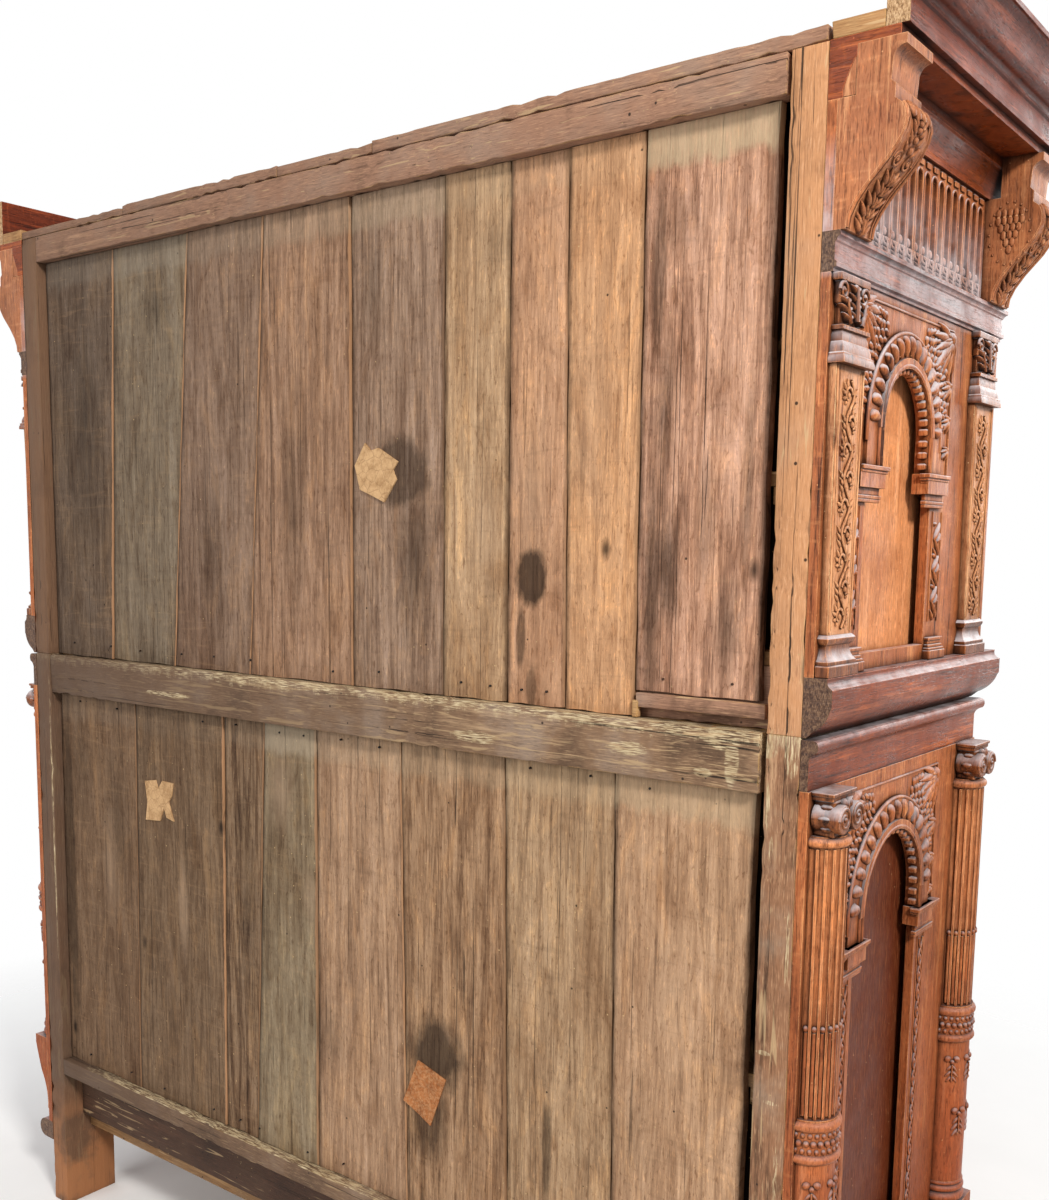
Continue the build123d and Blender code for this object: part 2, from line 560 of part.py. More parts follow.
# ---- fluted frieze -------------------------------------------------------------------------
SIDE_FLUTED = CASE_DEPTH - 2 * CONSOLE_WIDTH
side_flutes = int((SIDE_FLUTED - 10) / FLUTE_PITCH)
FRONT_FLUTED = POST_X - CONSOLE_WIDTH
front_flutes = int((FRONT_FLUTED - 10) / FLUTE_PITCH)
with BuildPart() as frieze_boards:
    for s in (-1, 1):
        block(s * HALF_W, s * (HALF_W + FACING), FRONT_Y - FACING, REAR_Y, Z_FRIEZE, Z_BED)
    block(-HALF_W + HAIRLINE, HALF_W - HAIRLINE, FRONT_Y - FACING, FRONT_Y, Z_FRIEZE, Z_BED)
    flute_z = (Z_FRIEZE + Z_BED) / 2
    for s in (-1, 1):
        side_out = Plane(origin=(s * (HALF_W + FACING), REAR_Y, 0), x_dir=(0, s, 0), z_dir=(s, 0, 0))
        with BuildSketch(side_out):
            with Locations((-s * CASE_DEPTH / 2, flute_z)):
                with GridLocations(FLUTE_PITCH, 1, side_flutes, 1):
                    SlotOverall(FRIEZE_HEIGHT - 36, FLUTE_WIDTH, rotation=90)
        extrude(amount=-FLUTE_DEPTH, mode=Mode.SUBTRACT)
        with BuildSketch(FRONT_FACE.offset(FACING)):
            with Locations((s * POST_X / 2, flute_z)):
                with GridLocations(FLUTE_PITCH, 1, front_flutes, 1):
                    SlotOverall(FRIEZE_HEIGHT - 36, FLUTE_WIDTH, rotation=90)
        extrude(amount=-FLUTE_DEPTH, mode=Mode.SUBTRACT)
save(frieze_boards.part, "frieze_boards")

# ---- consoles ------------------------------------------------------------------------------
with BuildPart() as console:
    with BuildSketch(Plane(origin=(CONSOLE_WIDTH / 2, 0, 0), x_dir=(0, -1, 0), z_dir=(-1, 0, 0))):
        with BuildLine():
            z = Z_FRIEZE
            Polyline(
                (CONSOLE_REACH - 3, z + 206), (CONSOLE_REACH - 3, Z_SOFFIT), (37, Z_SOFFIT), (37, Z_BED),
                (FACING, Z_BED), (FACING, z), (31, z),
            )
            Spline((31, z), (34, z + 18), (56, z + 52), (83, z + 81), (CONSOLE_REACH, z + 118), (97, z + 139))
            Polyline((97, z + 139), (88, z + 146), (88, z + 162), (82, z + 168), (84, z + 194))
            ThreePointArc((84, z + 194), (90, z + 203), (CONSOLE_REACH - 3, z + 206))
        make_face()
    extrude(amount=CONSOLE_WIDTH)
console_stations = [Location((x, FRONT_Y, 0)) for x in (-HALF_W + CONSOLE_WIDTH / 2, 0, HALF_W - CONSOLE_WIDTH / 2)]
console_stations += [
    Location((s * HALF_W, y, 0), (0, 0, 90 * s))
    for s in (-1, 1)
    for y in (REAR_Y - CONSOLE_WIDTH / 2, FRONT_Y + CONSOLE_WIDTH / 2)
]
with BuildPart() as consoles:
    with Locations(*console_stations):
        add(console.part)
save(consoles.part, "consoles")

# ---- pilasters -----------------------------------------------------------------------------
Z_PILASTER = Z_SILL + PILASTER_BASE
Z_PILASTER_TOP = Z_ARCHITRAVE - PILASTER_CAPITAL
PILASTER_MIDDLE_REAR = 50.0
PILASTER_MIDDLE_FRONT = 583.0
pilaster_stations = FRONT_STATIONS + [
    Location((s * HALF_W, REAR_Y - back, 0), (0, 0, 90 * s))
    for s in (-1, 1)
    for back in (PILASTER_MIDDLE_REAR, PILASTER_MIDDLE_FRONT)
]
with BuildPart() as pilaster_shaft:
    with BuildSketch(Plane(origin=(0, -FACING, 0), x_dir=(1, 0, 0), z_dir=(0, -1, 0))):
        Polygon(
            (-PILASTER_FOOT_WIDTH / 2, Z_PILASTER),
            (PILASTER_FOOT_WIDTH / 2, Z_PILASTER),
            (PILASTER_TOP_WIDTH / 2, Z_PILASTER_TOP),
            (-PILASTER_TOP_WIDTH / 2, Z_PILASTER_TOP),
            align=None,
        )
    extrude(amount=PILASTER_THICKNESS)
with BuildPart() as pilasters:
    with Locations(*pilaster_stations):
        add(pilaster_shaft.part)
save(pilasters.part, "pilasters")

BASE_HALF = 49.0
base_steps = (
    (0, 16, 34, BASE_HALF), (16, 30, 31, BASE_HALF - 3), (30, 46, 27, BASE_HALF - 7), (46, 56, 30, BASE_HALF - 4),
)
with BuildPart() as pilaster_base:
    for low, high, out, half in base_steps:
        block(-half, half, -out, -FACING, Z_SILL + low, Z_SILL + high)
with BuildPart() as pilaster_bases:
    with Locations(*pilaster_stations):
        add(pilaster_base.part)
save(pilaster_bases.part, "pilaster_bases")

cap_steps = (
    (0, 14, 37, BASE_HALF), (14, 28, 33, BASE_HALF - 4), (28, 42, 29, BASE_HALF - 8), (42, 48, 32, BASE_HALF - 6),
    (48, 73, 22, BASE_HALF - 13), (73, 113, 28, BASE_HALF - 3),
)
with BuildPart() as pilaster_cap:
    for low, high, out, half in cap_steps:
        block(-half, half, -out, -FACING, Z_PILASTER_TOP + low, Z_PILASTER_TOP + high)
with BuildPart() as pilaster_capitals:
    with Locations(*pilaster_stations):
        add(pilaster_cap.part)
save(pilaster_capitals.part, "pilaster_capitals")

# ---- bun feet ------------------------------------------------------------------------------
with BuildPart() as bun_feet:
    with BuildSketch(Plane.XZ):
        with BuildLine():
            Polyline((0, 0), (FOOT_RADIUS - 18, 0))
            ThreePointArc(
                (FOOT_RADIUS - 18, 0), (FOOT_RADIUS, FOOT_HEIGHT * 0.36), (FOOT_RADIUS - 20, FOOT_HEIGHT * 0.72)
            )
            Polyline(
                (FOOT_RADIUS - 20, FOOT_HEIGHT * 0.72), (FOOT_RADIUS - 26, FOOT_HEIGHT * 0.8),
                (FOOT_RADIUS - 8, FOOT_HEIGHT * 0.88), (FOOT_RADIUS - 8, FOOT_HEIGHT), (0, FOOT_HEIGHT), (0, 0),
            )
        make_face()
    revolve(axis=Axis.Z)
foot_y = FRONT_Y + FRONT_POST_DEPTH / 2
with BuildPart() as feet:
    with Locations((-POST_X, foot_y, 0), (POST_X, foot_y, 0)):
        add(bun_feet.part)
save(feet.part, "bun_feet")

# ---- boards inside -------------------------------------------------------------------------


def case_board(low, high, front, back):
    """A board between the posts, notched round the front posts."""
    block(-INNER_X, INNER_X, front, back, low, high)
    if front < FRONT_POST_BACK:
        for s in (-1, 1):
            block(s * POST_IN_X, s * INNER_X, front, FRONT_POST_BACK, low, high, Mode.SUBTRACT)


def cleats(shelf_z):
    """Two strips that carry a shelf at its ends."""
    for s in (-1, 1):
        block(s * (INNER_X - 20), s * INNER_X, FRONT_POST_BACK, BACK_IN_Y, shelf_z - 45, shelf_z - SHELF_THICKNESS - HAIRLINE)


dust_back = REAR_Y - BACK_BASE_SETBACK - BACK_BASE_THICKNESS
with BuildPart() as lower_boards:
    case_board(Z_DRAWER - SHELF_THICKNESS, Z_DRAWER, RAIL_BACK, dust_back)
    case_board(Z_FLOOR - SHELF_THICKNESS, Z_FLOOR, RAIL_BACK, BACK_IN_Y)
    case_board(Z_LOWER_SHELF - SHELF_THICKNESS, Z_LOWER_SHELF, SHELF_FRONT, BACK_IN_Y)
    case_board(LOWER_HEIGHT - SHELF_THICKNESS, LOWER_HEIGHT, RAIL_BACK, BACK_IN_Y)
    cleats(Z_LOWER_SHELF)
    guide_low = Z_DRAWER + HAIRLINE
    block(-STILE_X, STILE_X, RAIL_BACK, dust_back, guide_low, guide_low + 30)
    for s in (-1, 1):
        block(s * POST_IN_X, s * INNER_X, FRONT_POST_BACK, dust_back, guide_low, guide_low + 30)
save(lower_boards.part, "lower_boards")

with BuildPart() as upper_boards:
    case_board(Z_UPPER_FLOOR - SHELF_THICKNESS, Z_UPPER_FLOOR, RAIL_BACK, BACK_IN_Y)
    case_board(Z_UPPER_SHELF - SHELF_THICKNESS, Z_UPPER_SHELF, SHELF_FRONT, BACK_IN_Y)
    cleats(Z_UPPER_SHELF)
    # three top boards lie on the posts and the soffit, inside the cornice
    top_x = HALF_W + CROWN_INNER
    top_front = FRONT_Y - CROWN_INNER
    board_run = (REAR_Y - top_front) / 3
    for n in range(3):
        block(-top_x, top_x, top_front + n * board_run, top_front + (n + 1) * board_run - HAIRLINE,
              Z_TOP, Z_TOP + TOP_BOARD)
save(upper_boards.part, "upper_boards")

# ---- hinges --------------------------------------------------------------------------------
LOWER_DOOR = (Z_FLOOR + DOOR_GAP, Z_LOWER_HEAD - DOOR_GAP)
UPPER_DOOR = (Z_UPPER_FLOOR + DOOR_GAP, Z_UPPER_HEAD - DOOR_GAP)
HINGE_HEIGHT = 3 * KNUCKLE_LENGTH + 2 * 0.4
leaf_gap = (DOOR_GAP - 2 * LEAF_THICKNESS) / 3


def hinge_heights(door):
    """Middles of the two hinges of a door."""
    return (door[0] + HINGE_INSET, door[1] - HINGE_INSET)


def knuckle(side, low, high, radius, mode=Mode.ADD):
    """A length of round bar on the hinge line."""
    with Locations((side * HINGE_X, HINGE_Y, (low + high) / 2)):
        Cylinder(radius, high - low, mode=mode)


with BuildPart() as hinge_leaves:
    for side in (-1, 1):
        for door in (LOWER_DOOR, UPPER_DOOR):
            for middle in hinge_heights(door):
                low = middle - HINGE_HEIGHT / 2
                high = middle + HINGE_HEIGHT / 2
                x_post = side * POST_IN_X
                x_leaf = side * (POST_IN_X - LEAF_THICKNESS)
                block(x_leaf, x_post, HINGE_Y + KNUCKLE_RADIUS + 1, DOOR_BACK, low, high)
                for a, b in ((low, low + KNUCKLE_LENGTH), (high - KNUCKLE_LENGTH, high)):
                    block(x_leaf, x_post, HINGE_Y, HINGE_Y + KNUCKLE_RADIUS + 1, a, b)
                    knuckle(side, a, b, KNUCKLE_RADIUS)
                knuckle(side, low, high, HINGE_PIN_RADIUS)
save(hinge_leaves.part, "hinge_leaves")

# ---- doors ---------------------------------------------------------------------------------


def turned_knob(x, y_seat, z, tenon):
    """A turned pull whose foot seats on a face and whose tenon goes back through it."""
    with BuildSketch(Plane(origin=(x, y_seat, z), x_dir=(1, 0, 0), z_dir=(0, 0, 1))) as outline:
        with BuildLine():
            r = KNOB_RADIUS
            n = KNOB_LENGTH
            Polyline((0, tenon), (TENON_RADIUS, tenon), (TENON_RADIUS, 0), (r - 4, 0), (r - 4, -3), (r - 9, -6), (r - 9, -10))
            ThreePointArc((r - 9, -10), (r, -n * 0.62), (r - 8, -n + 3))
            Polyline((r - 8, -n + 3), (0, -n), (0, tenon))
        make_face()
    revolve(outline.sketch, axis=Axis((x, y_seat, z), (0, -1, 0)))


def make_door(label, side, door, rail, arch, sill_rise, grip_z):
    """One door with all that it carries. side is -1 or 1; a door on the + side has the lock."""
    low, high = door
    x_in = side * DOOR_IN_X
    x_out = side * DOOR_OUT_X
    y_out = FRONT_Y - FACING
    x_grip = side * (DOOR_IN_X + KEY_SETBACK)
    has_lock = side > 0
    hole = KEY_RADIUS + BOLT_CLEARANCE if has_lock else TENON_RADIUS + TENON_FIT

    with BuildPart() as frame:
        block(x_in, x_in + side * DOOR_STILE, FRONT_Y, DOOR_BACK, low, high)
        block(x_out - side * DOOR_STILE, x_out, FRONT_Y, DOOR_BACK, low, high)
        rail_in = x_in + side * (DOOR_STILE + HAIRLINE)
        rail_out = x_out - side * (DOOR_STILE + HAIRLINE)
        block(rail_in, rail_out, FRONT_Y, DOOR_BACK, low, low + rail)
        block(rail_in, rail_out, FRONT_Y, DOOR_BACK, high - rail, high)
        with BuildSketch(FRONT_FACE):
            with Locations((x_grip, grip_z)):
                Circle(hole)
        extrude(amount=-DOOR_THICKNESS, mode=Mode.SUBTRACT)
    save(frame.part, f"{label}_frame")

    with BuildPart() as panel:
        panel_y = FRONT_Y + PANEL_RECESS
        block(x_in + side * DOOR_STILE, x_out - side * DOOR_STILE, panel_y, panel_y + PANEL_THICKNESS,
              low + rail, high - rail)
    save(panel.part, f"{label}_panel")

    impost, centre, radius = arch
    bay = (DOOR_OUT_X - DOOR_IN_X) / 4
    middles = [side * (DOOR_MID_X - bay), side * (DOOR_MID_X + bay)]
    with BuildPart() as arcade:
        block(x_in + side * DOOR_GAP, x_out - side * DOOR_GAP, y_out, FRONT_Y, low, high)
        arch_cut(FRONT_FACE, middles, low + sill_rise, impost, centre, radius)
        arch_relief(FRONT_FACE, middles, impost, centre, radius, JAMB_HALF + 45)
        with BuildSketch(FRONT_FACE):
            with Locations((x_grip, grip_z)):
                Circle(hole)
        extrude(amount=FACING, mode=Mode.SUBTRACT)
    save(arcade.part, f"{label}_arcade")

    bolt_y = RAIL_BACK + 1
    with BuildPart() as ironwork:
        for middle in hinge_heights(door):
            foot = middle - HINGE_HEIGHT / 2
            top = middle + HINGE_HEIGHT / 2
            x_leaf = side * (DOOR_OUT_X + LEAF_THICKNESS)
            block(x_out, x_leaf, HINGE_Y + KNUCKLE_RADIUS + 1, DOOR_BACK, foot, top)
            half = KNUCKLE_LENGTH / 2
            block(x_out, x_leaf, HINGE_Y, HINGE_Y + KNUCKLE_RADIUS + 1, middle - half, middle + half)
            knuckle(side, middle - half, middle + half, KNUCKLE_RADIUS)
            knuckle(side, middle - half, middle + half, HINGE_PIN_RADIUS + PIN_FIT, Mode.SUBTRACT)
        if has_lock:
            with Locations((x_grip, y_out - 1, grip_z)):
                Box(30, 2, 52)
            with Locations((x_grip, y_out - 1, grip_z)):
                Cylinder(KEY_RADIUS + BOLT_CLEARANCE, 4, rotation=(90, 0, 0), mode=Mode.SUBTRACT)
        else:
            for z in (high - 40, high - 150):
                block(x_grip - 13, x_grip + 13, DOOR_BACK, bolt_y + 10, z - 7, z + 7)
                block(x_grip - 6 - BOLT_CLEARANCE, x_grip + 6 + BOLT_CLEARANCE, bolt_y - BOLT_CLEARANCE,
                      bolt_y + 6 + BOLT_CLEARANCE, z - 8, z + 8, Mode.SUBTRACT)
    save(ironwork.part, f"{label}_ironwork")

    if has_lock:
        lock_x0 = DOOR_IN_X + 5
        lock_x1 = lock_x0 + LOCK_WIDTH
        lock_y1 = DOOR_BACK + LOCK_DEPTH
        bolt_z = grip_z + 18
        with BuildPart() as lock:
            block(lock_x0, lock_x1, DOOR_BACK, lock_y1, grip_z - LOCK_HEIGHT / 2, grip_z + LOCK_HEIGHT / 2)
            block(lock_x0 + LOCK_WALL, lock_x1 - LOCK_WALL, DOOR_BACK + LOCK_WALL, lock_y1 - LOCK_WALL,
                  grip_z - LOCK_HEIGHT / 2 + LOCK_WALL, grip_z + LOCK_HEIGHT / 2 - LOCK_WALL, Mode.SUBTRACT)
            block(lock_x0 - 1, lock_x0 + LOCK_WALL + 1, bolt_y - BOLT_CLEARANCE, bolt_y + 6 + BOLT_CLEARANCE,
                  bolt_z - 6 - BOLT_CLEARANCE, bolt_z + 6 + BOLT_CLEARANCE, Mode.SUBTRACT)
            with Locations((x_grip, DOOR_BACK + 1, grip_z)):
                Cylinder(KEY_RADIUS + BOLT_CLEARANCE, 4, rotation=(90, 0, 0), mode=Mode.SUBTRACT)
        save(lock.part, f"{label}_lock")

        with BuildPart() as bolt:
            block(lock_x0 - 1, lock_x1 - LOCK_WALL - 2, bolt_y, bolt_y + 6, bolt_z - 6, bolt_z + 6)
        save(bolt.part, f"{label}_lock_bolt")

        bow_y = y_out - 34
        key_tip = lock_y1 - LOCK_WALL - 1
        with BuildPart() as key:
            with Locations((x_grip, (bow_y + key_tip) / 2, grip_z)):
                Cylinder(KEY_RADIUS, key_tip - bow_y, rotation=(90, 0, 0))
            with BuildSketch(Plane(origin=(x_grip - 2, bow_y - 11, grip_z), x_dir=(0, 1, 0), z_dir=(1, 0, 0))):
                Circle(14)
                Circle(9, mode=Mode.SUBTRACT)
            extrude(amount=4)
            block(x_grip - 1.5, x_grip + 1.5, DOOR_BACK + LOCK_WALL + 1, bolt_y, grip_z - 10, grip_z)
        save(key.part, f"{label}_key")
    else:
        with BuildPart() as bolt:
            block(x_grip - 6, x_grip + 6, bolt_y, bolt_y + 6, high - 190, high - 2)
            with Locations((x_grip, bolt_y + 6 + 7, high - 95)):
                Cylinder(6, 14, rotation=(90, 0, 0))
        save(bolt.part, f"{label}_bolt")

        with BuildPart() as knob:
            turned_knob(x_grip, y_out, grip_z, FACING + DOOR_THICKNESS)
        save(knob.part, f"{label}_knob")


LOWER_GRIP = (LOWER_DOOR[0] + LOWER_DOOR[1]) / 2
UPPER_GRIP = UPPER_DOOR[0] + 168
make_door("lower_left_door", -1, LOWER_DOOR, LOWER_DOOR_RAIL, lower_arch, 75, LOWER_GRIP)
make_door("lower_right_door", 1, LOWER_DOOR, LOWER_DOOR_RAIL, lower_arch, 75, LOWER_GRIP)
make_door("upper_left_door", -1, UPPER_DOOR, UPPER_DOOR_RAIL, upper_arch, 50, UPPER_GRIP)
make_door("upper_right_door", 1, UPPER_DOOR, UPPER_DOOR_RAIL, upper_arch, 50, UPPER_GRIP)

# ---- drawers -------------------------------------------------------------------------------


def make_drawer(label, side):
    """One drawer: front, box and two knobs."""
    low = Z_DRAWER + DOOR_GAP
    high = Z_DRAWER_TOP - DOOR_GAP
    x_in = side * DOOR_IN_X
    x_out = side * DOOR_OUT_X
    y_back = FRONT_Y + DRAWER_FRONT
    middle_z = (low + high) / 2
    knob_x = [side * (DOOR_MID_X - 190), side * (DOOR_MID_X + 190)]

    with BuildPart() as front:
        block(x_in, x_out, FRONT_Y, y_back, low, high)
        with BuildSketch(FRONT_FACE):
            with Locations((side * DOOR_MID_X, middle_z)):
                Rectangle(DOOR_OUT_X - DOOR_IN_X - 16, high - low - 12)
                Rectangle(DOOR_OUT_X - DOOR_IN_X - 60, high - low - 56, mode=Mode.SUBTRACT)
        extrude(amount=9)
        with BuildSketch(FRONT_FACE):
            with Locations(*[(x, middle_z) for x in knob_x]):
                Circle(TENON_RADIUS + TENON_FIT)
        extrude(amount=-DRAWER_FRONT, mode=Mode.SUBTRACT)
    save(front.part, f"{label}_front")

    with BuildPart() as box:
        side_high = Z_DRAWER + DRAWER_SIDE_HEIGHT
        box_back = FRONT_Y + DRAWER_DEPTH
        for x in (x_in + side * 2, x_out - side * (DRAWER_WALL + 2)):
            block(x, x + side * DRAWER_WALL, y_back, box_back, Z_DRAWER, side_high)
        inner = x_in + side * (DRAWER_WALL + 2 + HAIRLINE)
        outer = x_out - side * (DRAWER_WALL + 2 + HAIRLINE)
        block(inner, outer, y_back, box_back - DRAWER_WALL - HAIRLINE, Z_DRAWER + 6, Z_DRAWER + 6 + DRAWER_BOTTOM)
        block(inner, outer, box_back - DRAWER_WALL, box_back, Z_DRAWER, side_high)
    save(box.part, f"{label}_box")

    with BuildPart() as knobs:
        for x in knob_x:
            turned_knob(x, FRONT_Y, middle_z, DRAWER_FRONT)
    save(knobs.part, f"{label}_knobs")


make_drawer("left_drawer", -1)
make_drawer("right_drawer", 1)
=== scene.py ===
from math import atan2, cos, hypot, pi, radians, sin

import bpy
from bpy.props import FloatProperty, FloatVectorProperty, IntProperty, PointerProperty
from mathutils import Matrix, Vector


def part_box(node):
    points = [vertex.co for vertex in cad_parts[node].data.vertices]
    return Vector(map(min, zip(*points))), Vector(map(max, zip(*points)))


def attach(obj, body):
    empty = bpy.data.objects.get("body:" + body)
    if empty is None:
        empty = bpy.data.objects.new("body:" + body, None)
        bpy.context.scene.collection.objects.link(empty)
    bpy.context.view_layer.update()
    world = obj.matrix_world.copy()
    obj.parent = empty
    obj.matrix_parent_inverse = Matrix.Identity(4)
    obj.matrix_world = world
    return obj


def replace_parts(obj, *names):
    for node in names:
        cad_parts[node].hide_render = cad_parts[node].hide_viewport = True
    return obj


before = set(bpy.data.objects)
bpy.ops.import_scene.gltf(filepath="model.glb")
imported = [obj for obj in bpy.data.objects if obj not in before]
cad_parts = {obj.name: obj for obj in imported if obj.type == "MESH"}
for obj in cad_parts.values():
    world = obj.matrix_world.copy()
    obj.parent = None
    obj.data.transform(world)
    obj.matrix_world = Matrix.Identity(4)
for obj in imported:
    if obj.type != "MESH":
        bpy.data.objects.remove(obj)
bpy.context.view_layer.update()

bl_info = {
    "name": "Court cupboard dresser",
    "version": (1, 0, 0),
    "blender": (4, 5, 0),
    "location": "View3D > Sidebar > Cupboard",
    "description": "Carving, boards and finishes for a two-stage oak court cupboard",
    "category": "Object",
}

MM = 0.001
at = Matrix.Translation

# Planes of the case, in metres, read from the frame.
(_, FRONT_Y, _), (CASE_X, REAR_Y, _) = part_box("lower_posts")
POST_X = CASE_X - 0.052
BOARD_FACE = REAR_Y - 0.018
# How far a facing board stands out from its post
FACING = 0.014


def colour(text):
    """A web colour as linear red, green, blue and alpha; a linear one stays as it is."""
    if not isinstance(text, str):
        return tuple(text)
    parts = [int(text[i:i + 2], 16) / 255 for i in (1, 3, 5)]
    return tuple(c / 12.92 if c <= 0.04045 else ((c + 0.055) / 1.055) ** 2.4 for c in parts) + (1.0,)


# ---- sizes and colours that can be changed -----------------------------------------------------


class BoardSettings(bpy.types.PropertyGroup):
    """Back boards."""

    board_thickness: FloatProperty(name="Board thickness", description="Thickness of a back board",
                                   default=0.016, unit="LENGTH")
    wash_height: FloatProperty(name="Wash height",
                               description="Height of the pale band at the top of the boards", default=0.055,
                               unit="LENGTH")
    wash_colour: FloatVectorProperty(name="Wash colour", description="Colour of the pale band", size=4,
                                     subtype="COLOR", default=colour("#b39d7e"))


class OakSettings(bpy.types.PropertyGroup):
    """Carved oak."""

    light: FloatVectorProperty(name="Light oak", description="Worn ridges of the carved oak", size=4,
                               subtype="COLOR", default=colour("#d18c5a"))
    middle: FloatVectorProperty(name="Middle oak", description="Plain faces of the carved oak", size=4,
                                subtype="COLOR", default=colour("#a8623a"))
    dark: FloatVectorProperty(name="Dark oak", description="Hollows of the carved oak", size=4,
                              subtype="COLOR", default=colour("#3c1c0d"))


class CarvingSettings(bpy.types.PropertyGroup):
    """Carving."""

    lobes: IntProperty(name="Arch lobes", description="Radiating lobes round one arch", default=17, min=5)
    dentils: IntProperty(name="Arch dentils", description="Small blocks inside one arch", default=19, min=5)
    scroll_pitch: FloatProperty(name="Scroll pitch", description="Height of one leaf of the running scroll",
                                default=0.036, unit="LENGTH")
    bead: FloatProperty(name="Bead radius", description="Radius of a carved bead", default=0.0042,
                        unit="LENGTH")


# ---- modelling helpers -------------------------------------------------------------------------


def deselect():
    """Leave object mode with nothing selected."""
    if bpy.context.object and bpy.context.object.mode != "OBJECT":
        bpy.ops.object.mode_set(mode="OBJECT")
    bpy.ops.object.select_all(action="DESELECT")


def pick(*objects):
    """Select these objects and make the first one active."""
    deselect()
    for item in objects:
        item.select_set(True)
    bpy.context.view_layer.objects.active = objects[0]


def settle(item):
    """Put an object's place, turn and size into its mesh."""
    pick(item)
    bpy.ops.object.transform_apply(location=True, rotation=True, scale=True)
    return item


def put(item, place):
    """Move a piece to its place and settle it there."""
    item.location = place
    return settle(item)


def tilted(angle, axis="Y"):
    return Matrix.Rotation(angle, 4, axis)


def added(name, data):
    """A new object in the scene, made from its mesh, curve, lamp or camera."""
    item = bpy.data.objects.new(name, data)
    bpy.context.collection.objects.link(item)
    return item


def faced_out(item, smooth=None):
    """From edit mode: turn all faces outward, then smooth the ones that meet below an angle in degrees."""
    bpy.ops.mesh.select_all(action="SELECT")
    bpy.ops.mesh.normals_make_consistent(inside=False)
    bpy.ops.object.mode_set(mode="OBJECT")
    if smooth:
        bpy.ops.object.shade_smooth_by_angle(angle=radians(smooth))
    return item


def ease(item, width, sharp=False):
    """Bevel the edges of a piece, or only its sharp ones."""
    cut = item.modifiers.new("ease", "BEVEL")
    cut.width = width
    cut.segments = 2
    if sharp:
        cut.limit_method = "ANGLE"
    pick(item)
    bpy.ops.object.modifier_apply(modifier="ease")


def sliced(item, cuts):
    """Cut a whole mesh by planes, each given by a place and a normal."""
    pick(item)
    bpy.ops.object.mode_set(mode="EDIT")
    for spot, turn in cuts:
        bpy.ops.mesh.select_all(action="SELECT")
        bpy.ops.mesh.bisect(plane_co=spot, plane_no=turn)
    bpy.ops.object.mode_set(mode="OBJECT")


def ball(centre, radii, segments=8, rings=5, turn=(0, 0, 0)):
    """A carved swelling."""
    deselect()
    bpy.ops.mesh.primitive_uv_sphere_add(segments=segments, ring_count=rings, radius=1, location=centre,
                                         rotation=turn, scale=radii)
    bpy.ops.object.shade_smooth()
    return settle(bpy.context.object)


def block(low, high, bevel=0.0):
    """A squared piece between two corners, its edges eased."""
    deselect()
    low, high = Vector(low), Vector(high)
    bpy.ops.mesh.primitive_cube_add(size=1, location=(low + high) / 2, scale=high - low)
    item = settle(bpy.context.object)
    if bevel:
        ease(item, bevel)
    return item


def slab(half, reach, low, high, bevel):
    """A block on the facing: its half width, how far it reaches out, and its heights."""
    return block((-half, -reach, low), (half, -FACING, high), bevel)


def drawn(points):
    """Draw a chain of edges from point to point, left in edit mode."""
    deselect()
    bpy.ops.mesh.primitive_plane_add(size=0.001, location=(0, 0, 0))
    item = bpy.context.object
    bpy.ops.object.mode_set(mode="EDIT")
    bpy.ops.mesh.select_all(action="SELECT")
    bpy.ops.mesh.merge(type="CENTER")
    bpy.ops.transform.translate(value=points[0])
    for a, b in zip(points, points[1:]):
        bpy.ops.mesh.extrude_region_move(TRANSFORM_OT_translate={"value": Vector(b) - Vector(a)})
    return item


def turned(points, centre, axis, steps):
    """Spin an outline once round an axis through a centre."""
    item = drawn(points)
    bpy.ops.mesh.select_all(action="SELECT")
    bpy.ops.mesh.spin(steps=steps, angle=pi * 2, center=centre, axis=axis)
    bpy.ops.mesh.select_all(action="SELECT")
    bpy.ops.mesh.remove_doubles(threshold=0.00001)
    return faced_out(item, 40)


def prism(points, depth):
    """A closed outline pushed along a depth vector."""
    item = drawn(points)
    bpy.ops.mesh.select_all(action="SELECT")
    bpy.ops.mesh.edge_face_add()
    bpy.ops.mesh.extrude_region_move(TRANSFORM_OT_translate={"value": depth})
    return faced_out(item)


def cord(points, radius, sides=1, taper=None):
    """A raised carved line that follows points, made a mesh."""
    deselect()
    line = bpy.data.curves.new("line", "CURVE")
    line.dimensions = "3D"
    line.bevel_depth = radius
    line.bevel_resolution = sides
    line.use_fill_caps = True
    run = line.splines.new("POLY")
    run.points.add(len(points) - 1)
    for n, (spot, place) in enumerate(zip(run.points, points)):
        spot.co = (*place, 1)
        spot.radius = taper[n] if taper else 1
    pick(added("line", line))
    bpy.ops.object.convert(target="MESH")
    bpy.ops.object.shade_smooth()
    return bpy.context.object


def polar(x, z, radius, turn, side=1):
    """A place on the face at a turn and a distance from another."""
    return x + side * radius * cos(turn), z + radius * sin(turn)


def arc(centre, radius, count, sweep=pi):
    """Points on the face round a centre, from its right up and over."""
    x, y, z = centre
    turns = [sweep * n / count for n in range(count + 1)]
    return [(x + radius * cos(turn), y, z + radius * sin(turn)) for turn in turns]


def joined(pieces, name):
    """Several pieces made one object."""
    pick(*pieces)
    if len(pieces) > 1:
        bpy.ops.object.join()
    item = bpy.context.object
    item.name = name
    item.data.name = name
    return item


def carved(maker):
    """Join all the parts that a maker yields into one piece."""
    def whole(*sizes):
        return joined(list(maker(*sizes)), maker.__name__)
    return whole


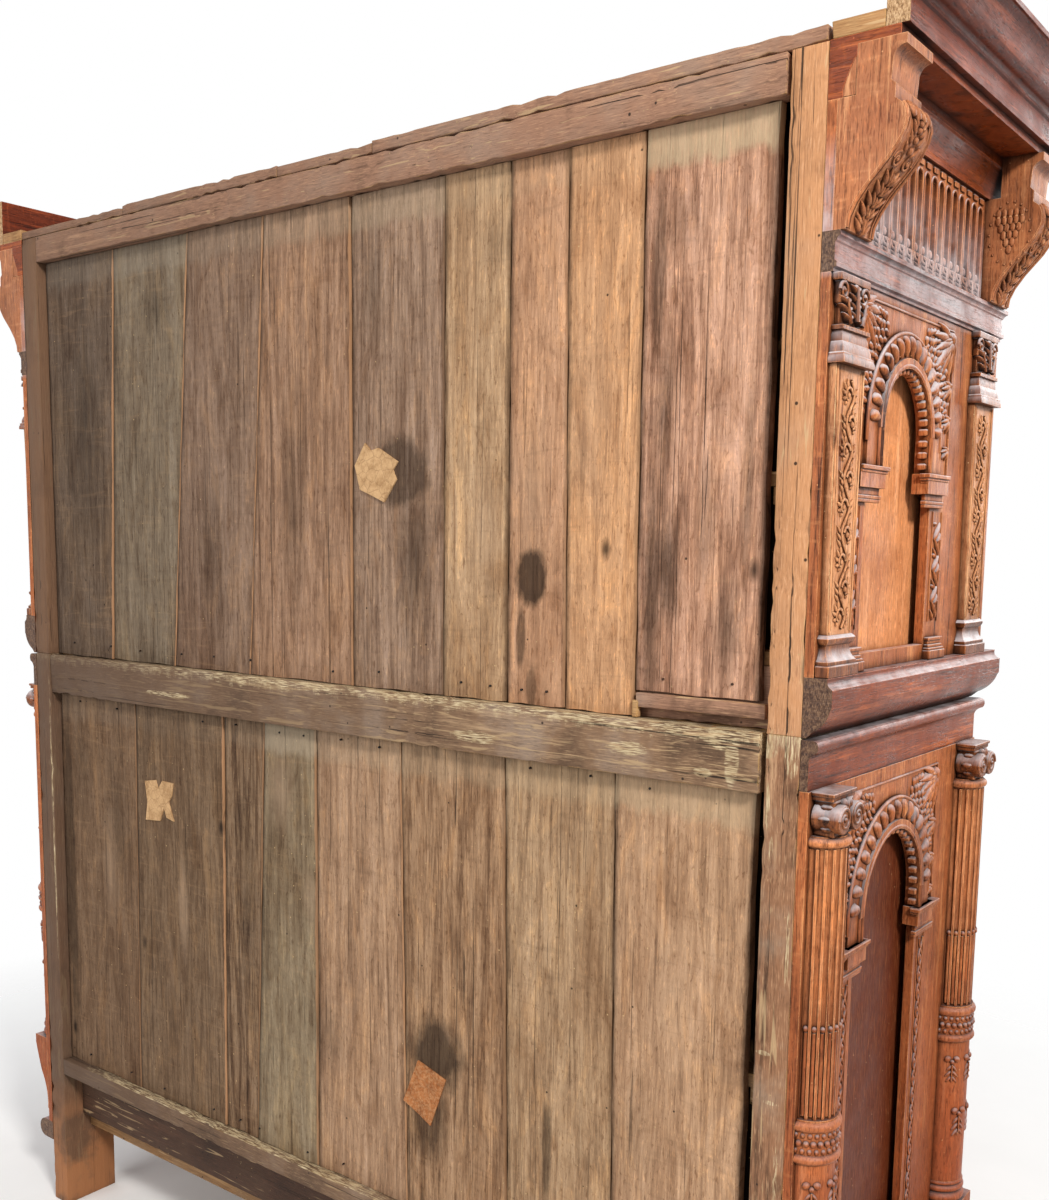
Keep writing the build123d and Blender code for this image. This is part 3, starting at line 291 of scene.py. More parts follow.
def copied(master, places, name):
    """Copies of a master at several places, each with its own mesh, joined."""
    made = []
    for place in places:
        mesh = master.data.copy()
        mesh.transform(place)
        if place.determinant() < 0:
            mesh.flip_normals()
        made.append(added(name, mesh))
    return joined(made, name)


def discard(*items):
    for item in items:
        bpy.data.objects.remove(item, do_unlink=True)


def dress(item, material, body="case"):
    """Give a finished piece its material, body and slot."""
    item.data.materials.clear()
    item.data.materials.append(material)
    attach(item, body)
    return item


def repeated(master, places, name, material):
    """A master copied to its places on the case and dressed; the master itself is thrown away."""
    item = dress(copied(master, places, name), material, "case")
    discard(master)
    return item


def side_place(side, from_rear):
    """From local axes (x along the face, -y outward) to a place on a side face."""
    spot = at((side * CASE_X, REAR_Y - from_rear, 0))
    return spot @ tilted(side * pi / 2, "Z")


def front_place(x):
    return at((x, FRONT_Y, 0))


def stations(front, backs):
    """Places across the front, then at the same distances from the rear on both sides."""
    return [front_place(x) for x in front] + [side_place(s, back) for s in (-1, 1) for back in backs]


# ---- materials ---------------------------------------------------------------------------------


def grain_scale(axis, across, along):
    """Three scales: one along the letters of the grain's axis, another across it."""
    return tuple(along if letter in axis else across for letter in "xyz")


class Finish:
    """A material that is built node by node on Object coordinates."""

    def __init__(self, name, axis="z"):
        self.material = bpy.data.materials.new(name)
        self.material.use_nodes = True
        self.axis = axis
        self.tree = self.material.node_tree
        self.shader = self.tree.nodes["Principled BSDF"]
        self.place = self.add("ShaderNodeTexCoord").outputs["Object"]

    def add(self, kind, inputs=None, **settings):
        node = self.tree.nodes.new(kind)
        for key, value in settings.items():
            setattr(node, key, value)
        for key, value in (inputs or {}).items():
            self.feed(node.inputs[key], value)
        return node

    def feed(self, socket, value):
        if isinstance(value, bpy.types.NodeSocket):
            self.tree.links.new(value, socket)
        else:
            socket.default_value = colour(value) if isinstance(value, str) else value

    def stretched(self, scale, shift=(0, 0, 0)):
        return self.add("ShaderNodeMapping", {
            "Vector": self.place, "Scale": scale, "Location": shift}).outputs[0]

    def noise(self, scale, detail=4.0, rough=0.55, twist=0.0):
        """Noise whose scale is one number or one for each axis."""
        scale = scale if isinstance(scale, tuple) else (scale,) * 3
        return self.add("ShaderNodeTexNoise", {
            "Vector": self.stretched(scale), "Scale": 1.0, "Detail": detail, "Roughness": rough,
            "Distortion": twist}).outputs["Fac"]

    def grain(self, across, along, *rest):
        """Noise drawn out along the grain."""
        return self.noise(grain_scale(self.axis, across, along), *rest)

    def cells(self, scale, vector=None):
        """Distance to the nearest of many scattered points."""
        return self.add("ShaderNodeTexVoronoi", {
            "Vector": vector or self.place, "Scale": scale}).outputs["Distance"]

    def split(self, vector=None):
        return self.add("ShaderNodeSeparateXYZ", {"Vector": vector or self.place}).outputs

    def attribute(self, name, output="Fac"):
        return self.add("ShaderNodeAttribute", attribute_name=name).outputs[output]

    def sums(self, operation, *parts):
        """One operation of arithmetic from part to part."""
        whole = parts[0]
        for part in parts[1:]:
            node = self.add("ShaderNodeMath", operation=operation)
            self.feed(node.inputs[0], whole)
            self.feed(node.inputs[1], part)
            whole = node.outputs[0]
        return whole

    def plus(self, *parts):
        return self.sums("ADD", *parts)

    def minus(self, *parts):
        return self.sums("SUBTRACT", *parts)

    def times(self, *parts):
        return self.sums("MULTIPLY", *parts)

    def most(self, *parts):
        return self.sums("MAXIMUM", *parts)

    def reach(self, a, b):
        """Length of the two steps a and b at right angles."""
        return self.sums("SQRT", self.plus(self.times(a, a), self.times(b, b)), 0.0)

    def fade(self, value, low, high, to_low=0.0, to_high=1.0):
        return self.add("ShaderNodeMapRange", {
            "Value": value, "From Min": low, "From Max": high,
            "To Min": to_low, "To Max": to_high}).outputs[0]

    def ramp(self, value, *stops):
        node = self.add("ShaderNodeValToRGB", {"Fac": value})
        marks = node.color_ramp.elements
        while len(marks) < len(stops):
            marks.new(0.5)
        for mark, (place, shade) in zip(marks, stops):
            mark.position = place
            mark.color = colour(shade)
        return node.outputs[0]

    def mix(self, share, a, b, blend="MIX"):
        node = self.add("ShaderNodeMix", data_type="RGBA", blend_type=blend)
        for n, value in ((0, share), (6, a), (7, b)):
            self.feed(node.inputs[n], value)
        return node.outputs[2]

    def laid(self, base, shade, value, low, high, share=1.0, blend="MIX"):
        """A colour over the base, up to a share of it, as a value goes from low to high."""
        return self.mix(self.fade(value, low, high, 0, share), base, shade, blend)

    def toned(self, base, *layers):
        """The base multiplied by the tint of each layer, as its value goes from low to high."""
        for value, low, high, share, tint in layers:
            base = self.laid(base, (*tint, 1.0), value, low, high, share, "MULTIPLY")
        return base

    def arris(self, radius):
        """Where a surface turns sharply, 0 to 1, and the normal with its arrises eased."""
        eased = self.add("ShaderNodeBevel", {"Radius": radius}, samples=4).outputs[0]
        turn = self.add("ShaderNodeVectorMath", operation="DOT_PRODUCT")
        self.feed(turn.inputs[0], eased)
        self.feed(turn.inputs[1], self.add("ShaderNodeNewGeometry").outputs["Normal"])
        return self.fade(turn.outputs["Value"], 0.992, 0.90), eased

    def blot(self, here, place, size, ragged, soft):
        """Share of a stain with a ragged edge, of a given place and size on the surface."""
        steps = [self.sums("DIVIDE", self.minus(a, b), c) for a, b, c in zip(here, place, size)]
        return self.fade(self.plus(self.reach(*steps), self.times(ragged, 0.9)), 1.45, 1.45 - soft)

    def bump(self, height, distance, strength=1.0, normal=None):
        node = self.add("ShaderNodeBump", {"Height": height, "Distance": distance, "Strength": strength})
        if normal:
            self.feed(node.inputs["Normal"], normal)
        return node.outputs[0]

    def done(self, base, rough, normal, coat=0.0, specular=0.4):
        for socket, value in (("Base Color", base), ("Roughness", rough), ("Specular IOR Level", specular),
                              ("Coat Weight", coat), ("Coat Roughness", 0.22), ("Normal", normal)):
            self.feed(self.shader.inputs[socket], value)
        return self.material


def waxed_oak(name, axis, light, middle, dark, coat=0.1, worn=0.5, rough=0.42, hollow=0.018, sawn=None,
              duller=None, painted_sheen=0.0):
    """Oak with long fibres, rays, open pores, dark hollows and worn, waxed ridges."""
    f = Finish(name, axis)
    light, middle, dark = colour(light), colour(middle), colour(dark)
    fibres = f.grain(130, 5.0, 8, 0.7, 0.7)
    figure = f.grain(22, 1.9, 5, 0.6, 1.6)
    rays = f.grain(34, 130, 2, 0.5)
    patch = f.noise(4.5, 4, 0.6)
    _, back, up = f.split()
    tone = f.plus(f.times(fibres, 0.55), f.times(figure, 0.45))
    base = f.ramp(tone, (0.37, dark), (0.46, middle), (0.53, middle), (0.62, light))
    base = f.laid(base, light, rays, 0.58, 0.74, 0.35)
    base = f.laid(base, dark, patch, 0.5, 0.72, 0.5)
    if duller:
        # darker and redder below a height
        start, end, share, tint = duller
        base = f.laid(base, tint, up, start, end, share)
    flecks = f.grain(300, 62, 3, 0.66, 0.7)
    clouds = f.noise(11, 5, 0.62, 0.6)
    base = f.toned(base, (flecks, 0.56, 0.68, 0.9, (1.42, 1.34, 1.24)),
                   (flecks, 0.45, 0.34, 0.9, (0.60, 0.50, 0.44)),
                   (clouds, 0.52, 0.68, 0.6, (0.72, 0.60, 0.52)),
                   (clouds, 0.46, 0.34, 0.6, (1.22, 1.18, 1.06)))
    pore = f.fade(f.grain(620, 34, 2, 0.6), 0.43, 0.33)
    base = f.mix(f.times(pore, 0.6), base, dark)
    open_air = f.add("ShaderNodeAmbientOcclusion", {"Distance": hollow}, samples=8).outputs["AO"]
    cavity = f.fade(open_air, 0.93, 0.42)
    base = f.mix(f.times(cavity, 0.9), base, tuple(c * 0.4 for c in dark[:3]) + (1.0,))
    edge, eased = f.arris(0.0016)
    outer = f.times(edge, f.fade(cavity, 0.35, 0.05))
    rubbed = f.fade(f.noise(38, 3, 0.6), 0.38, 0.6, 0.25, 1.0)
    paler = tuple(min(1.0, c * 1.7 + 0.03) for c in light[:3]) + (1.0,)
    base = f.mix(f.times(outer, rubbed, worn), base, paler)
    dots = f.times(f.fade(f.cells(60.0), 0.07, 0.04), f.fade(patch, 0.44, 0.52))
    base = f.mix(f.times(dots, 0.5), base, paler)
    if painted_sheen:
        # painted bluish sheen on slopes that look up, stronger on the upper case, and on the architrave's belt
        slope = f.split(f.add("ShaderNodeNewGeometry").outputs["Normal"])["Z"]
        share = f.times(f.fade(slope, 0.0, 0.6), f.fade(up, 0.9, 1.75, 0.4, 1.0))
        belt = f.times(f.fade(up, 1.872, 1.885), f.fade(up, 2.05, 1.96, 0, 0.6))
        cloud = f.fade(f.noise(24, 4, 0.65), 0.36, 0.6, 0.25, 1.0)
        base = f.mix(f.times(f.most(share, belt), cloud, painted_sheen), base, "#cfc8cc")
    if sawn:
        # end grain at the back of the case, and the paler ends above the soffit
        behind = f.fade(back, REAR_Y - 0.0006, REAR_Y - 0.0003)
        ends = f.noise((620, 620, 260), 4, 0.7)
        for start, end, *tones in ((2.087, 2.0865, "#33211a", sawn, "#86684f"),
                                   (2.160, 2.1605, "#6b4a2c", "#ae8860", "#d0b088")):
            here = f.times(behind, f.fade(up, start, end))
            base = f.mix(here, base, f.ramp(ends, *zip((0.36, 0.5, 0.66), tones)))
    shine = f.plus(f.fade(f.noise(14, 3), 0.35, 0.7, rough - 0.08, rough + 0.16), f.times(cavity, 0.3))
    normal = f.bump(f.minus(fibres, f.times(pore, 0.4)), 0.0014, 0.55, eased)
    return f.done(base, shine, normal, coat, 0.13)


# Pale torn places on the joints of the lower frame, and painted sunlight on the top arris of the lower rail,
# seen from behind: x, z, half width, half height
TORN_AND_SUNLIT_PLACES = (
    (-0.815, 1.238, 0.012, 0.040), (-0.800, 1.262, 0.030, 0.014), (-0.760, 1.272, 0.080, 0.010),
    (-0.560, 1.276, 0.160, 0.010), (-0.250, 1.278, 0.170, 0.008), (0.150, 1.279, 0.200, 0.006),
    (-0.870, 1.262, 0.016, 0.018), (-0.905, 1.252, 0.012, 0.030), (-0.872, 1.180, 0.004, 0.036),
    (-0.880, 1.120, 0.003, 0.026), (-0.910, 0.980, 0.003, 0.060), (-0.880, 0.830, 0.012, 0.004),
    (-0.895, 0.760, 0.014, 0.003), (-0.905, 0.640, 0.003, 0.060), (-0.770, 1.215, 0.016, 0.008),
    # the first two places here are painted sunlight along the top arris of the lower rear rail
    (-0.500, 0.352, 0.360, 0.004), (0.300, 0.352, 0.480, 0.003), (0.872, 0.900, 0.003, 0.300),
    (0.450, 1.225, 0.080, 0.006), (-0.350, 1.222, 0.060, 0.010), (-0.640, 1.235, 0.040, 0.012),
)


def dry_oak(name, axis, light, middle, dark, grey, amount=0.3, chipped=0.6, shaded=0.0, torn_and_sunlit=()):
    """Unwaxed frame oak: dry fibres, grey weathering, cracks, scratches, nail holes, pale arrises; painted
    shade and sunlight.
    """
    f = Finish(name, axis)
    fibres = f.grain(85, 3.0, 9, 0.72, 0.7)
    figure = f.grain(15, 1.2, 5, 0.58, 1.6)
    fine = f.grain(520, 40, 3, 0.65)
    blotch = f.noise(7, 6, 0.62)
    across, _, up = f.split()
    tone = f.plus(f.times(fibres, 0.55), f.times(figure, 0.45))
    base = f.ramp(tone, (0.33, dark), (0.44, middle), (0.55, middle), (0.67, light))
    for shade, value, low, high, share in ((grey, blotch, 0.48, 0.66, amount),
                                           (dark, blotch, 0.46, 0.34, 0.55), (light, fine, 0.54, 0.70, 0.55),
                                           (dark, fine, 0.44, 0.32, 0.45)):
        base = f.laid(base, shade, value, low, high, share)
    cracks = f.fade(f.grain(100, 1.3, 3, 0.5, 1.2), 0.36, 0.31)
    base = f.mix(f.times(cracks, 0.9), base, "#120a05")
    edge, eased = f.arris(0.0028)
    rag = f.grain(60, 22, 4, 0.65)
    base = f.mix(f.times(edge, f.fade(rag, 0.46, 0.56), chipped), base, "#b9904f")
    scratch = f.noise((70, 70, 8) if axis == "z" else grain_scale(axis, 130, 9), 2, 0.5, 0.8)
    base = f.laid(base, "#c4a57c", scratch, *((0.60, 0.66) if torn_and_sunlit else (0.64, 0.69)), 0.6)
    base = f.laid(base, "#0e0704", f.cells(26.0), 0.075, 0.05, 0.9)
    specks = f.cells(75.0, f.stretched((1, 1, 1), (3, 5, 7)))
    pale = f.times(f.fade(specks, 0.10, 0.06), f.fade(blotch, 0.47, 0.56))
    base = f.mix(f.times(pale, 0.75), base, "#b59a6c")
    if shaded:
        # painted shade, darker towards the far end of the back
        base = f.laid(base, "#523e30", across, -0.75, 0.9, 0.95 * shaded)
    if torn_and_sunlit:
        ragged = f.noise((60, 60, 34), 5, 0.66)
        # pale torn places, two of which are painted sunlight along the lower rail's top arris
        pale_places = f.most(*[f.blot((across, up), pale_place[:2], pale_place[2:], ragged, 0.22) for pale_place in torn_and_sunlit])
        # worn arris along the top of the rear rail
        arris = f.plus(up, f.times(f.minus(ragged, 0.5), 0.05))
        worn_top = f.times(f.fade(arris, 1.262, 1.273), f.fade(across, 0.7, 0.2, 0.2, 1.0))
        broken = f.fade(f.plus(fine, f.times(rag, 0.5)), 0.68, 0.78)
        raw = f.ramp(fine, (0.36, "#80694c"), (0.5, "#b7a07a"), (0.64, "#dccba6"))
        base = f.mix(f.times(f.most(pale_places, worn_top), broken, 0.7), base, raw)
        # painted sunlight: patchy orange towards the feet, where the legs are lit
        foot = f.times(f.fade(up, 0.30, 0.14, 0, 0.75), f.fade(blotch, 0.42, 0.56, 0.15, 1.0))
        base = f.mix(foot, base, "#a56c43")
    height = f.minus(f.plus(fibres, f.times(fine, 0.3)), f.times(cracks, 0.9))
    return f.done(base, f.fade(fibres, 0.3, 0.7, 0.74, 0.58), f.bump(height, 0.0024, 0.75, eased), 0.0, 0.2)


# Stains on the back boards, and one painted shadow of a stile, seen from behind: x, z, half width, half
# height, softness, strength
DARK_STAINS_AND_SHADOW = (
    (-0.165, 1.648, 0.075, 0.066, 0.28, 0.62), (-0.20, 1.50, 0.05, 0.17, 0.9, 0.55),
    (-0.445, 1.478, 0.036, 0.05, 0.3, 0.85), (-0.425, 1.385, 0.011, 0.055, 0.3, 0.6),
    (-0.447, 1.31, 0.012, 0.04, 0.3, 0.5), (-0.255, 0.655, 0.075, 0.075, 0.45, 0.8),
    (-0.235, 0.535, 0.055, 0.10, 0.5, 0.65), (-0.491, 0.56, 0.012, 0.10, 0.4, 0.6),
    (0.10, 1.60, 0.05, 0.26, 1.0, 0.45), (-0.666, 1.47, 0.022, 0.28, 0.7, 0.65),
    (-0.665, 1.92, 0.014, 0.16, 0.5, 0.5), (0.74, 1.75, 0.09, 0.33, 1.0, 0.5),
    (0.50, 1.98, 0.07, 0.05, 0.9, 0.35), (0.33, 1.52, 0.06, 0.22, 1.0, 0.35),
    (0.66, 0.95, 0.05, 0.2, 1.0, 0.35), (0.24, 0.83, 0.05, 0.33, 0.9, 0.45),
    (-0.75, 1.56, 0.02, 0.12, 0.6, 0.4), (-0.37, 1.99, 0.05, 0.05, 0.9, 0.3),
    (-0.690, 1.50, 0.030, 0.11, 0.8, 0.75), (-0.680, 1.72, 0.022, 0.14, 0.9, 0.6),
    (-0.790, 1.42, 0.030, 0.09, 0.9, 0.6), (-0.700, 1.98, 0.050, 0.06, 0.9, 0.35),
    (-0.815, 1.62, 0.012, 0.18, 0.8, 0.5), (-0.105, 1.95, 0.03, 0.12, 0.9, 0.4),
    # the second place here is a painted shadow of the stile down the left edge of the first lower board
    (0.79, 1.05, 0.05, 0.16, 1.0, 0.4), (0.84, 0.80, 0.022, 0.45, 0.4, 0.55),
    (0.02, 0.62, 0.06, 0.08, 0.9, 0.3), (-0.66, 0.62, 0.05, 0.12, 1.0, 0.3),
)
PALE_PATCHES = (
    (0.69, 0.83, 0.03, 0.16, 1.0, 0.35), (0.44, 0.78, 0.02, 0.11, 0.5, 0.3),
    (-0.44, 1.62, 0.04, 0.16, 0.9, 0.3), (-0.35, 1.55, 0.04, 0.12, 0.9, 0.3),
    (-0.55, 1.70, 0.05, 0.25, 1.0, 0.25), (-0.71, 0.86, 0.05, 0.2, 1.0, 0.22),
    (0.14, 1.07, 0.05, 0.1, 0.9, 0.35), (0.06, 0.88, 0.03, 0.06, 0.6, 0.2),
)


def weathered_boards(settings):
    """Dry sawn boards: a tone for each board, long grain, cracks, stains, a pale wash band, nail holes, and
    painted shade and sunlight.
    """
    f = Finish("weathered_boards")
    tone = f.attribute("board_tone", "Color")
    shift = f.attribute("board_shift")
    strong = f.attribute("board_grain")
    true_place = f.place
    across, _, up = f.split()

    # each board reads its grain from a place of its own
    moved = f.add("ShaderNodeVectorMath", operation="ADD")
    f.feed(moved.inputs[0], true_place)
    f.feed(moved.inputs[1], f.add("ShaderNodeCombineXYZ", {"X": shift, "Y": shift, "Z": shift}).outputs[0])
    f.place = moved.outputs[0]
    fibres = f.noise((210, 60, 9.0), 9, 0.74, 1.1)
    rings = f.noise((22, 10, 1.5), 5, 0.62, 3.0)
    broad = f.noise((6, 6, 2.2), 6, 0.62, 0.6)
    fine = f.noise((620, 200, 48), 3, 0.7)
    cracks = f.fade(f.noise((120, 20, 1.4), 3, 0.55, 1.8), 0.345, 0.30)
    ragged = f.noise((30, 30, 16), 6, 0.66)
    saw = f.noise((9, 9, 70), 4, 0.6, 1.2)
    mottle = f.noise((21, 12, 6.5), 7, 0.66, 1.4)
    flecks = f.noise((230, 60, 62), 3, 0.64, 0.8)
    knots = f.cells(1.0, f.stretched((4.5, 1, 2.4)))
    f.place = true_place

    grain = f.plus(f.times(fibres, 0.5), f.times(rings, 0.5))
    calm = f.ramp(grain, (0.33, "#beb4aa"), (0.44, "#dcd6ce"), (0.54, "#efece6"), (0.66, "#ffffff"))
    harsh = f.ramp(grain, (0.35, "#5c4e45"), (0.45, "#ac9f94"), (0.53, "#e4ded4"), (0.64, "#ffffff"))
    base = f.mix(1.0, tone, f.mix(strong, calm, harsh), "MULTIPLY")
    base = f.toned(base,
                   (mottle, 0.51, 0.68, 0.85, (0.68, 0.60, 0.53)),
                   (mottle, 0.47, 0.33, 0.85, (1.30, 1.24, 1.12)),
                   (flecks, 0.57, 0.68, 0.9, (1.35, 1.31, 1.24)),
                   (flecks, 0.43, 0.33, 0.9, (0.62, 0.55, 0.50)),
                   (broad, 0.52, 0.70, 0.8, (0.66, 0.57, 0.50)), (broad, 0.45, 0.3, 0.8, (1.24, 1.17, 1.02)),
                   (fine, 0.54, 0.70, 0.8, (1.25, 1.22, 1.18)))
    base = f.laid(base, "#c09a74", saw, 0.56, 0.74, 0.12)
    base = f.laid(base, "#3a2618", saw, 0.44, 0.3, 0.14)
    base = f.mix(f.times(f.fade(f.cells(48.0), 0.075, 0.045), f.fade(broad, 0.45, 0.56, 0, 0.7)), base,
                 "#c9ab7c")
    worm = f.cells(17.0, f.stretched((1, 1, 1), (9, 4, 2)))
    base = f.laid(base, "#120a06", worm, 0.038, 0.026, 0.85)
    # painted shade along the arrises where two boards meet, and painted sunlight on a board's lit left arris
    edge = f.plus(f.attribute("board_edge"), f.times(f.minus(ragged, 0.5), 0.012))
    base = f.laid(base, "#24160c", edge, 0.009, 0.0, 0.8)
    glow = f.times(f.fade(edge, 0.0062, 0.0035), f.attribute("board_lit"))
    base = f.mix(f.times(glow, 0.8), base, "#b28560")
    pale, stains_and_shadow = ([f.times(f.blot((across, up), (x, z), (wide, tall), ragged, soft), strength)
                      for x, z, wide, tall, soft, strength in marks] for marks in (PALE_PATCHES, DARK_STAINS_AND_SHADOW))
    for share in pale:
        base = f.mix(share, base, "#b0947a")
    # dark stains, and the painted shadow of the stile
    base = f.mix(f.most(*stains_and_shadow), base, "#1b110a")
    base = f.mix(f.times(f.fade(knots, 0.05, 0.015), 0.85), base, "#160d07")
    base = f.mix(f.times(cracks, f.fade(strong, 0.2, 0.9, 0.25, 0.95)), base, "#1a100a")

    # pale wash band under each top rail, with a ragged lower edge
    bands = []
    for top in (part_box("upper_back_boards")[1][2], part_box("lower_back_boards")[1][2]):
        lower = f.plus(f.minus(up, top - settings.wash_height), f.times(ragged, 0.06))
        bands.append(f.times(f.fade(lower, 0.022, 0.038), f.fade(up, top + 0.004, top + 0.002)))
    patchy = f.times(f.fade(fine, 0.3, 0.6, 0.55, 0.95), f.attribute("board_wash"))
    # the wash colour darkens towards the left as painted shade
    shaded_wash = f.mix(f.fade(across, -0.5, 0.6), tuple(settings.wash_colour), "#8a8174")
    base = f.mix(f.times(f.most(*bands), patchy), base, shaded_wash)

    height = f.minus(f.plus(fibres, f.times(fine, 0.35)), f.times(cracks, 1.4))
    return f.done(base, f.fade(fibres, 0.3, 0.7, 0.9, 0.72), f.bump(height, 0.0018, 0.8), 0.0, 0.16)


def forged_iron():
    f = Finish("forged_iron")
    pits = f.noise(160, 5, 0.6)
    base = f.mix(f.fade(f.noise(30, 4), 0.5, 0.7), "#2b2724", "#4a2f1f")
    f.shader.inputs["Metallic"].default_value = 0.75
    return f.done(base, f.fade(pits, 0.3, 0.7, 0.42, 0.68), f.bump(pits, 0.0006, 0.6), 0.0, 0.5)


def aged_paper(name, light, dark):
    """Brittle paper, foxed and creased."""
    f = Finish(name)
    pulp = f.noise(260, 4, 0.6)
    spots = f.noise(42, 5, 0.65)
    creases = f.add("ShaderNodeTexVoronoi", {"Vector": f.place, "Scale": 55.0}, feature="DISTANCE_TO_EDGE")
    fold = f.fade(creases.outputs["Distance"], 0.05, 0.0)
    base = f.mix(f.fade(spots, 0.4, 0.62), light, dark)
    base = f.mix(f.times(fold, 0.35), base, "#5f3c20")
    base = f.laid(base, "#dcb88a", pulp, 0.4, 0.7, 0.3)
    height = f.minus(pulp, f.times(fold, 0.6))
    return f.done(base, f.fade(spots, 0.3, 0.7, 0.8, 0.95), f.bump(height, 0.0008, 0.7), 0.0, 0.15)


MATERIALS = {}
END_GRAIN = "#5c4233"
RAW_FRAME = ("#9a562a", "#7a3d18", "#3a1a0a", "#7a5a40")


def finishes():
    """All the finishes, made once."""
    if MATERIALS:
        return MATERIALS
    oak = bpy.context.scene.cupboard_oak
    MATERIALS.update(
        carved=waxed_oak("carved_oak", "z", oak.light, oak.middle, oak.dark, 0.03, 0.8, 0.40, 0.018, None,
                         (1.15, 0.45, 0.6, "#7a361c"), 0.85),
        grimy=waxed_oak("grimy_oak", "z", "#bf7c4c", "#7f4828", "#24110a", 0.10, 1.0, 0.30, 0.022, painted_sheen=1.0),
        column=waxed_oak("column_oak", "z", "#e0996a", "#c27a4c", "#4d2411", 0.03, 0.8, 0.40, 0.018, None,
                         (1.05, 0.55, 0.75, "#85391c"), 0.25),
        moulded=waxed_oak("moulded_oak", "xy", "#ad5a2b", "#7c3819", "#260e05", 0.04, 1.0, 0.30, 0.018,
                          END_GRAIN, painted_sheen=0.55),
        crown=waxed_oak("crown_oak", "xy", "#984a2a", "#682c17", "#260f07", 0.04, 0.7, 0.30, 0.018, END_GRAIN,
                        painted_sheen=0.2),
        consoles=waxed_oak("console_oak", "z", "#cf9468", "#a86a46", "#4f2816", 0.04, 0.8),
        panel=waxed_oak("panel_oak", "z", "#e8a678", "#d28c5c", "#9c5e38", 0.02, 0.3, 0.46, 0.012, None,
                        (1.32, 1.22, 0.95, "#4c1807")),
        pilaster=waxed_oak("pilaster_oak", "z", "#eab285", "#cc8e62", "#5c2c14", 0.04, 1.0, 0.44, 0.022),
        post=dry_oak("post_oak", "z", "#e2b088", "#c08a60", "#6e452c", "#a88a74", 0.3, 0.7, 0.9),
        grey_post=dry_oak("grey_post_oak", "z", "#cfa47e", "#8e6549", "#2c1b12", "#a08c78", 0.6, 0.9, 0.9,
                          TORN_AND_SUNLIT_PLACES),
        rail=dry_oak("rail_oak", "x", "#c79a78", "#96705a", "#402a1e", "#9a8474", 0.5, 0.7, 0.5),
        grey_rail=dry_oak("grey_rail_oak", "x", "#c2a17c", "#80634b", "#281a13", "#a39080", 0.6, 0.9, 1.0,
                          TORN_AND_SUNLIT_PLACES),
        # the base board's dark oak is painted shade under the bottom rail
        base_board=dry_oak("base_board_oak", "x", "#63402d", "#3c261b", "#160d08", "#54402f", 0.35, 0.5, 0.3),
        front_rail=dry_oak("front_rail_oak", "x", *RAW_FRAME, 0.15),
        side_rail=dry_oak("side_rail_oak", "y", *RAW_FRAME, 0.2),
        raw=dry_oak("raw_oak", "x", "#a98358", "#7d5a38", "#4a3220", "#8a7a64", 0.3),
        hewn=dry_oak("hewn_oak", "x", "#d3ab78", "#ab7f54", "#573820", "#b2966c", 0.5, 0.7),
        # near-black oak for the strips that paint shade in the end gaps of the back boards
        dark=dry_oak("shadow_strip_oak", "z", "#2a1c12", "#1c120b", "#0e0805", "#241a12", 0.2, 0.1),
        iron=forged_iron(),
        label=aged_paper("aged_paper", "#c29c72", "#a07b55"),
        label_red=aged_paper("aged_red_paper", "#a5663a", "#7d4726"),
        boards=weathered_boards(bpy.context.scene.cupboard_boards),
    )
    return MATERIALS


# ---- operators ---------------------------------------------------------------------------------


class CUPBOARD_OT_case(bpy.types.Operator):
    """Give every jointed timber of the frame its oak"""

    bl_idname = "cupboard.case"
    bl_label = "Finish the frame timbers"

    # the first finish whose list holds the end of a node's name is the one it gets
    finish_of = (
        ("iron", ("_ironwork", "_lock", "_key", "_bolt", "hinge_leaves")),
        ("raw", ("_box", "lower_boards", "upper_boards")),
        ("panel", ("_panel", "side_panels")),
        ("post", ("_posts",)),
        ("rail", ("_rails",)),
        ("moulded", ("_front", "_frame", "lower_cornice", "base_mouldings", "sill_moulding", "architrave",
                     "bed_moulding", "cornice_soffit")),
        ("crown", ("cornice_crown",)),
        ("column", ("lower_columns",)),
        ("consoles", ("consoles",)),
        ("pilaster", ("pilasters",)),
    )

    def execute(self, context):
        paint = finishes()
        for node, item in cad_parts.items():
            kind = next((kind for kind, ends in self.finish_of if node.endswith(ends)), "carved")
            for slot in item.material_slots:
                slot.material = paint[kind]
        return {"FINISHED"}


def chance(*marks):
    """A fixed number from 0 to 1 for some marks, the same every time."""
    return abs(sin(sum((n + 1) * 12.9898 * m for n, m in enumerate(marks))) * 43758.5453) % 1


# A corner whose chance is above this is knocked
KNOCKED = 0.86


def timber(low, high, seed, worn, step, material):
    """A sawn timber from corner to corner in mm: cut into lengths, its arrises knocked, then eased."""
    low, high = Vector(low) * MM, Vector(high) * MM
    size = high - low
    along = max(range(3), key=lambda n: size[n])
    item = block(low, high)
    count = max(2, int(size[along] / (step * MM)))
    run = Vector([float(n == along) for n in range(3)])
    sliced(item, [(low + run * (size[along] * n / count), run) for n in range(1, count)])
    middle = (low + high) / 2
    sides = [n for n in range(3) if n != along]
    for spot in item.data.vertices:
        place = round((spot.co[along] - low[along]) / size[along] * count)
        corner = (spot.co[sides[0]] > middle[sides[0]]) * 2 + (spot.co[sides[1]] > middle[sides[1]])
        for n in sides:
            hit = chance(place, corner, n, seed)
            knock = worn * 1.3 * max(0.0, hit - KNOCKED) / (1 - KNOCKED)
            depth = (0.25 + 0.25 * hit + knock) * MM
            spot.co[n] += depth * (1 if spot.co[n] < middle[n] else -1)
    ease(item, 0.0012, sharp=True)
    bpy.ops.object.shade_smooth_by_angle(angle=radians(25))
    item.data.materials.clear()
    item.data.materials.append(material)
    return item


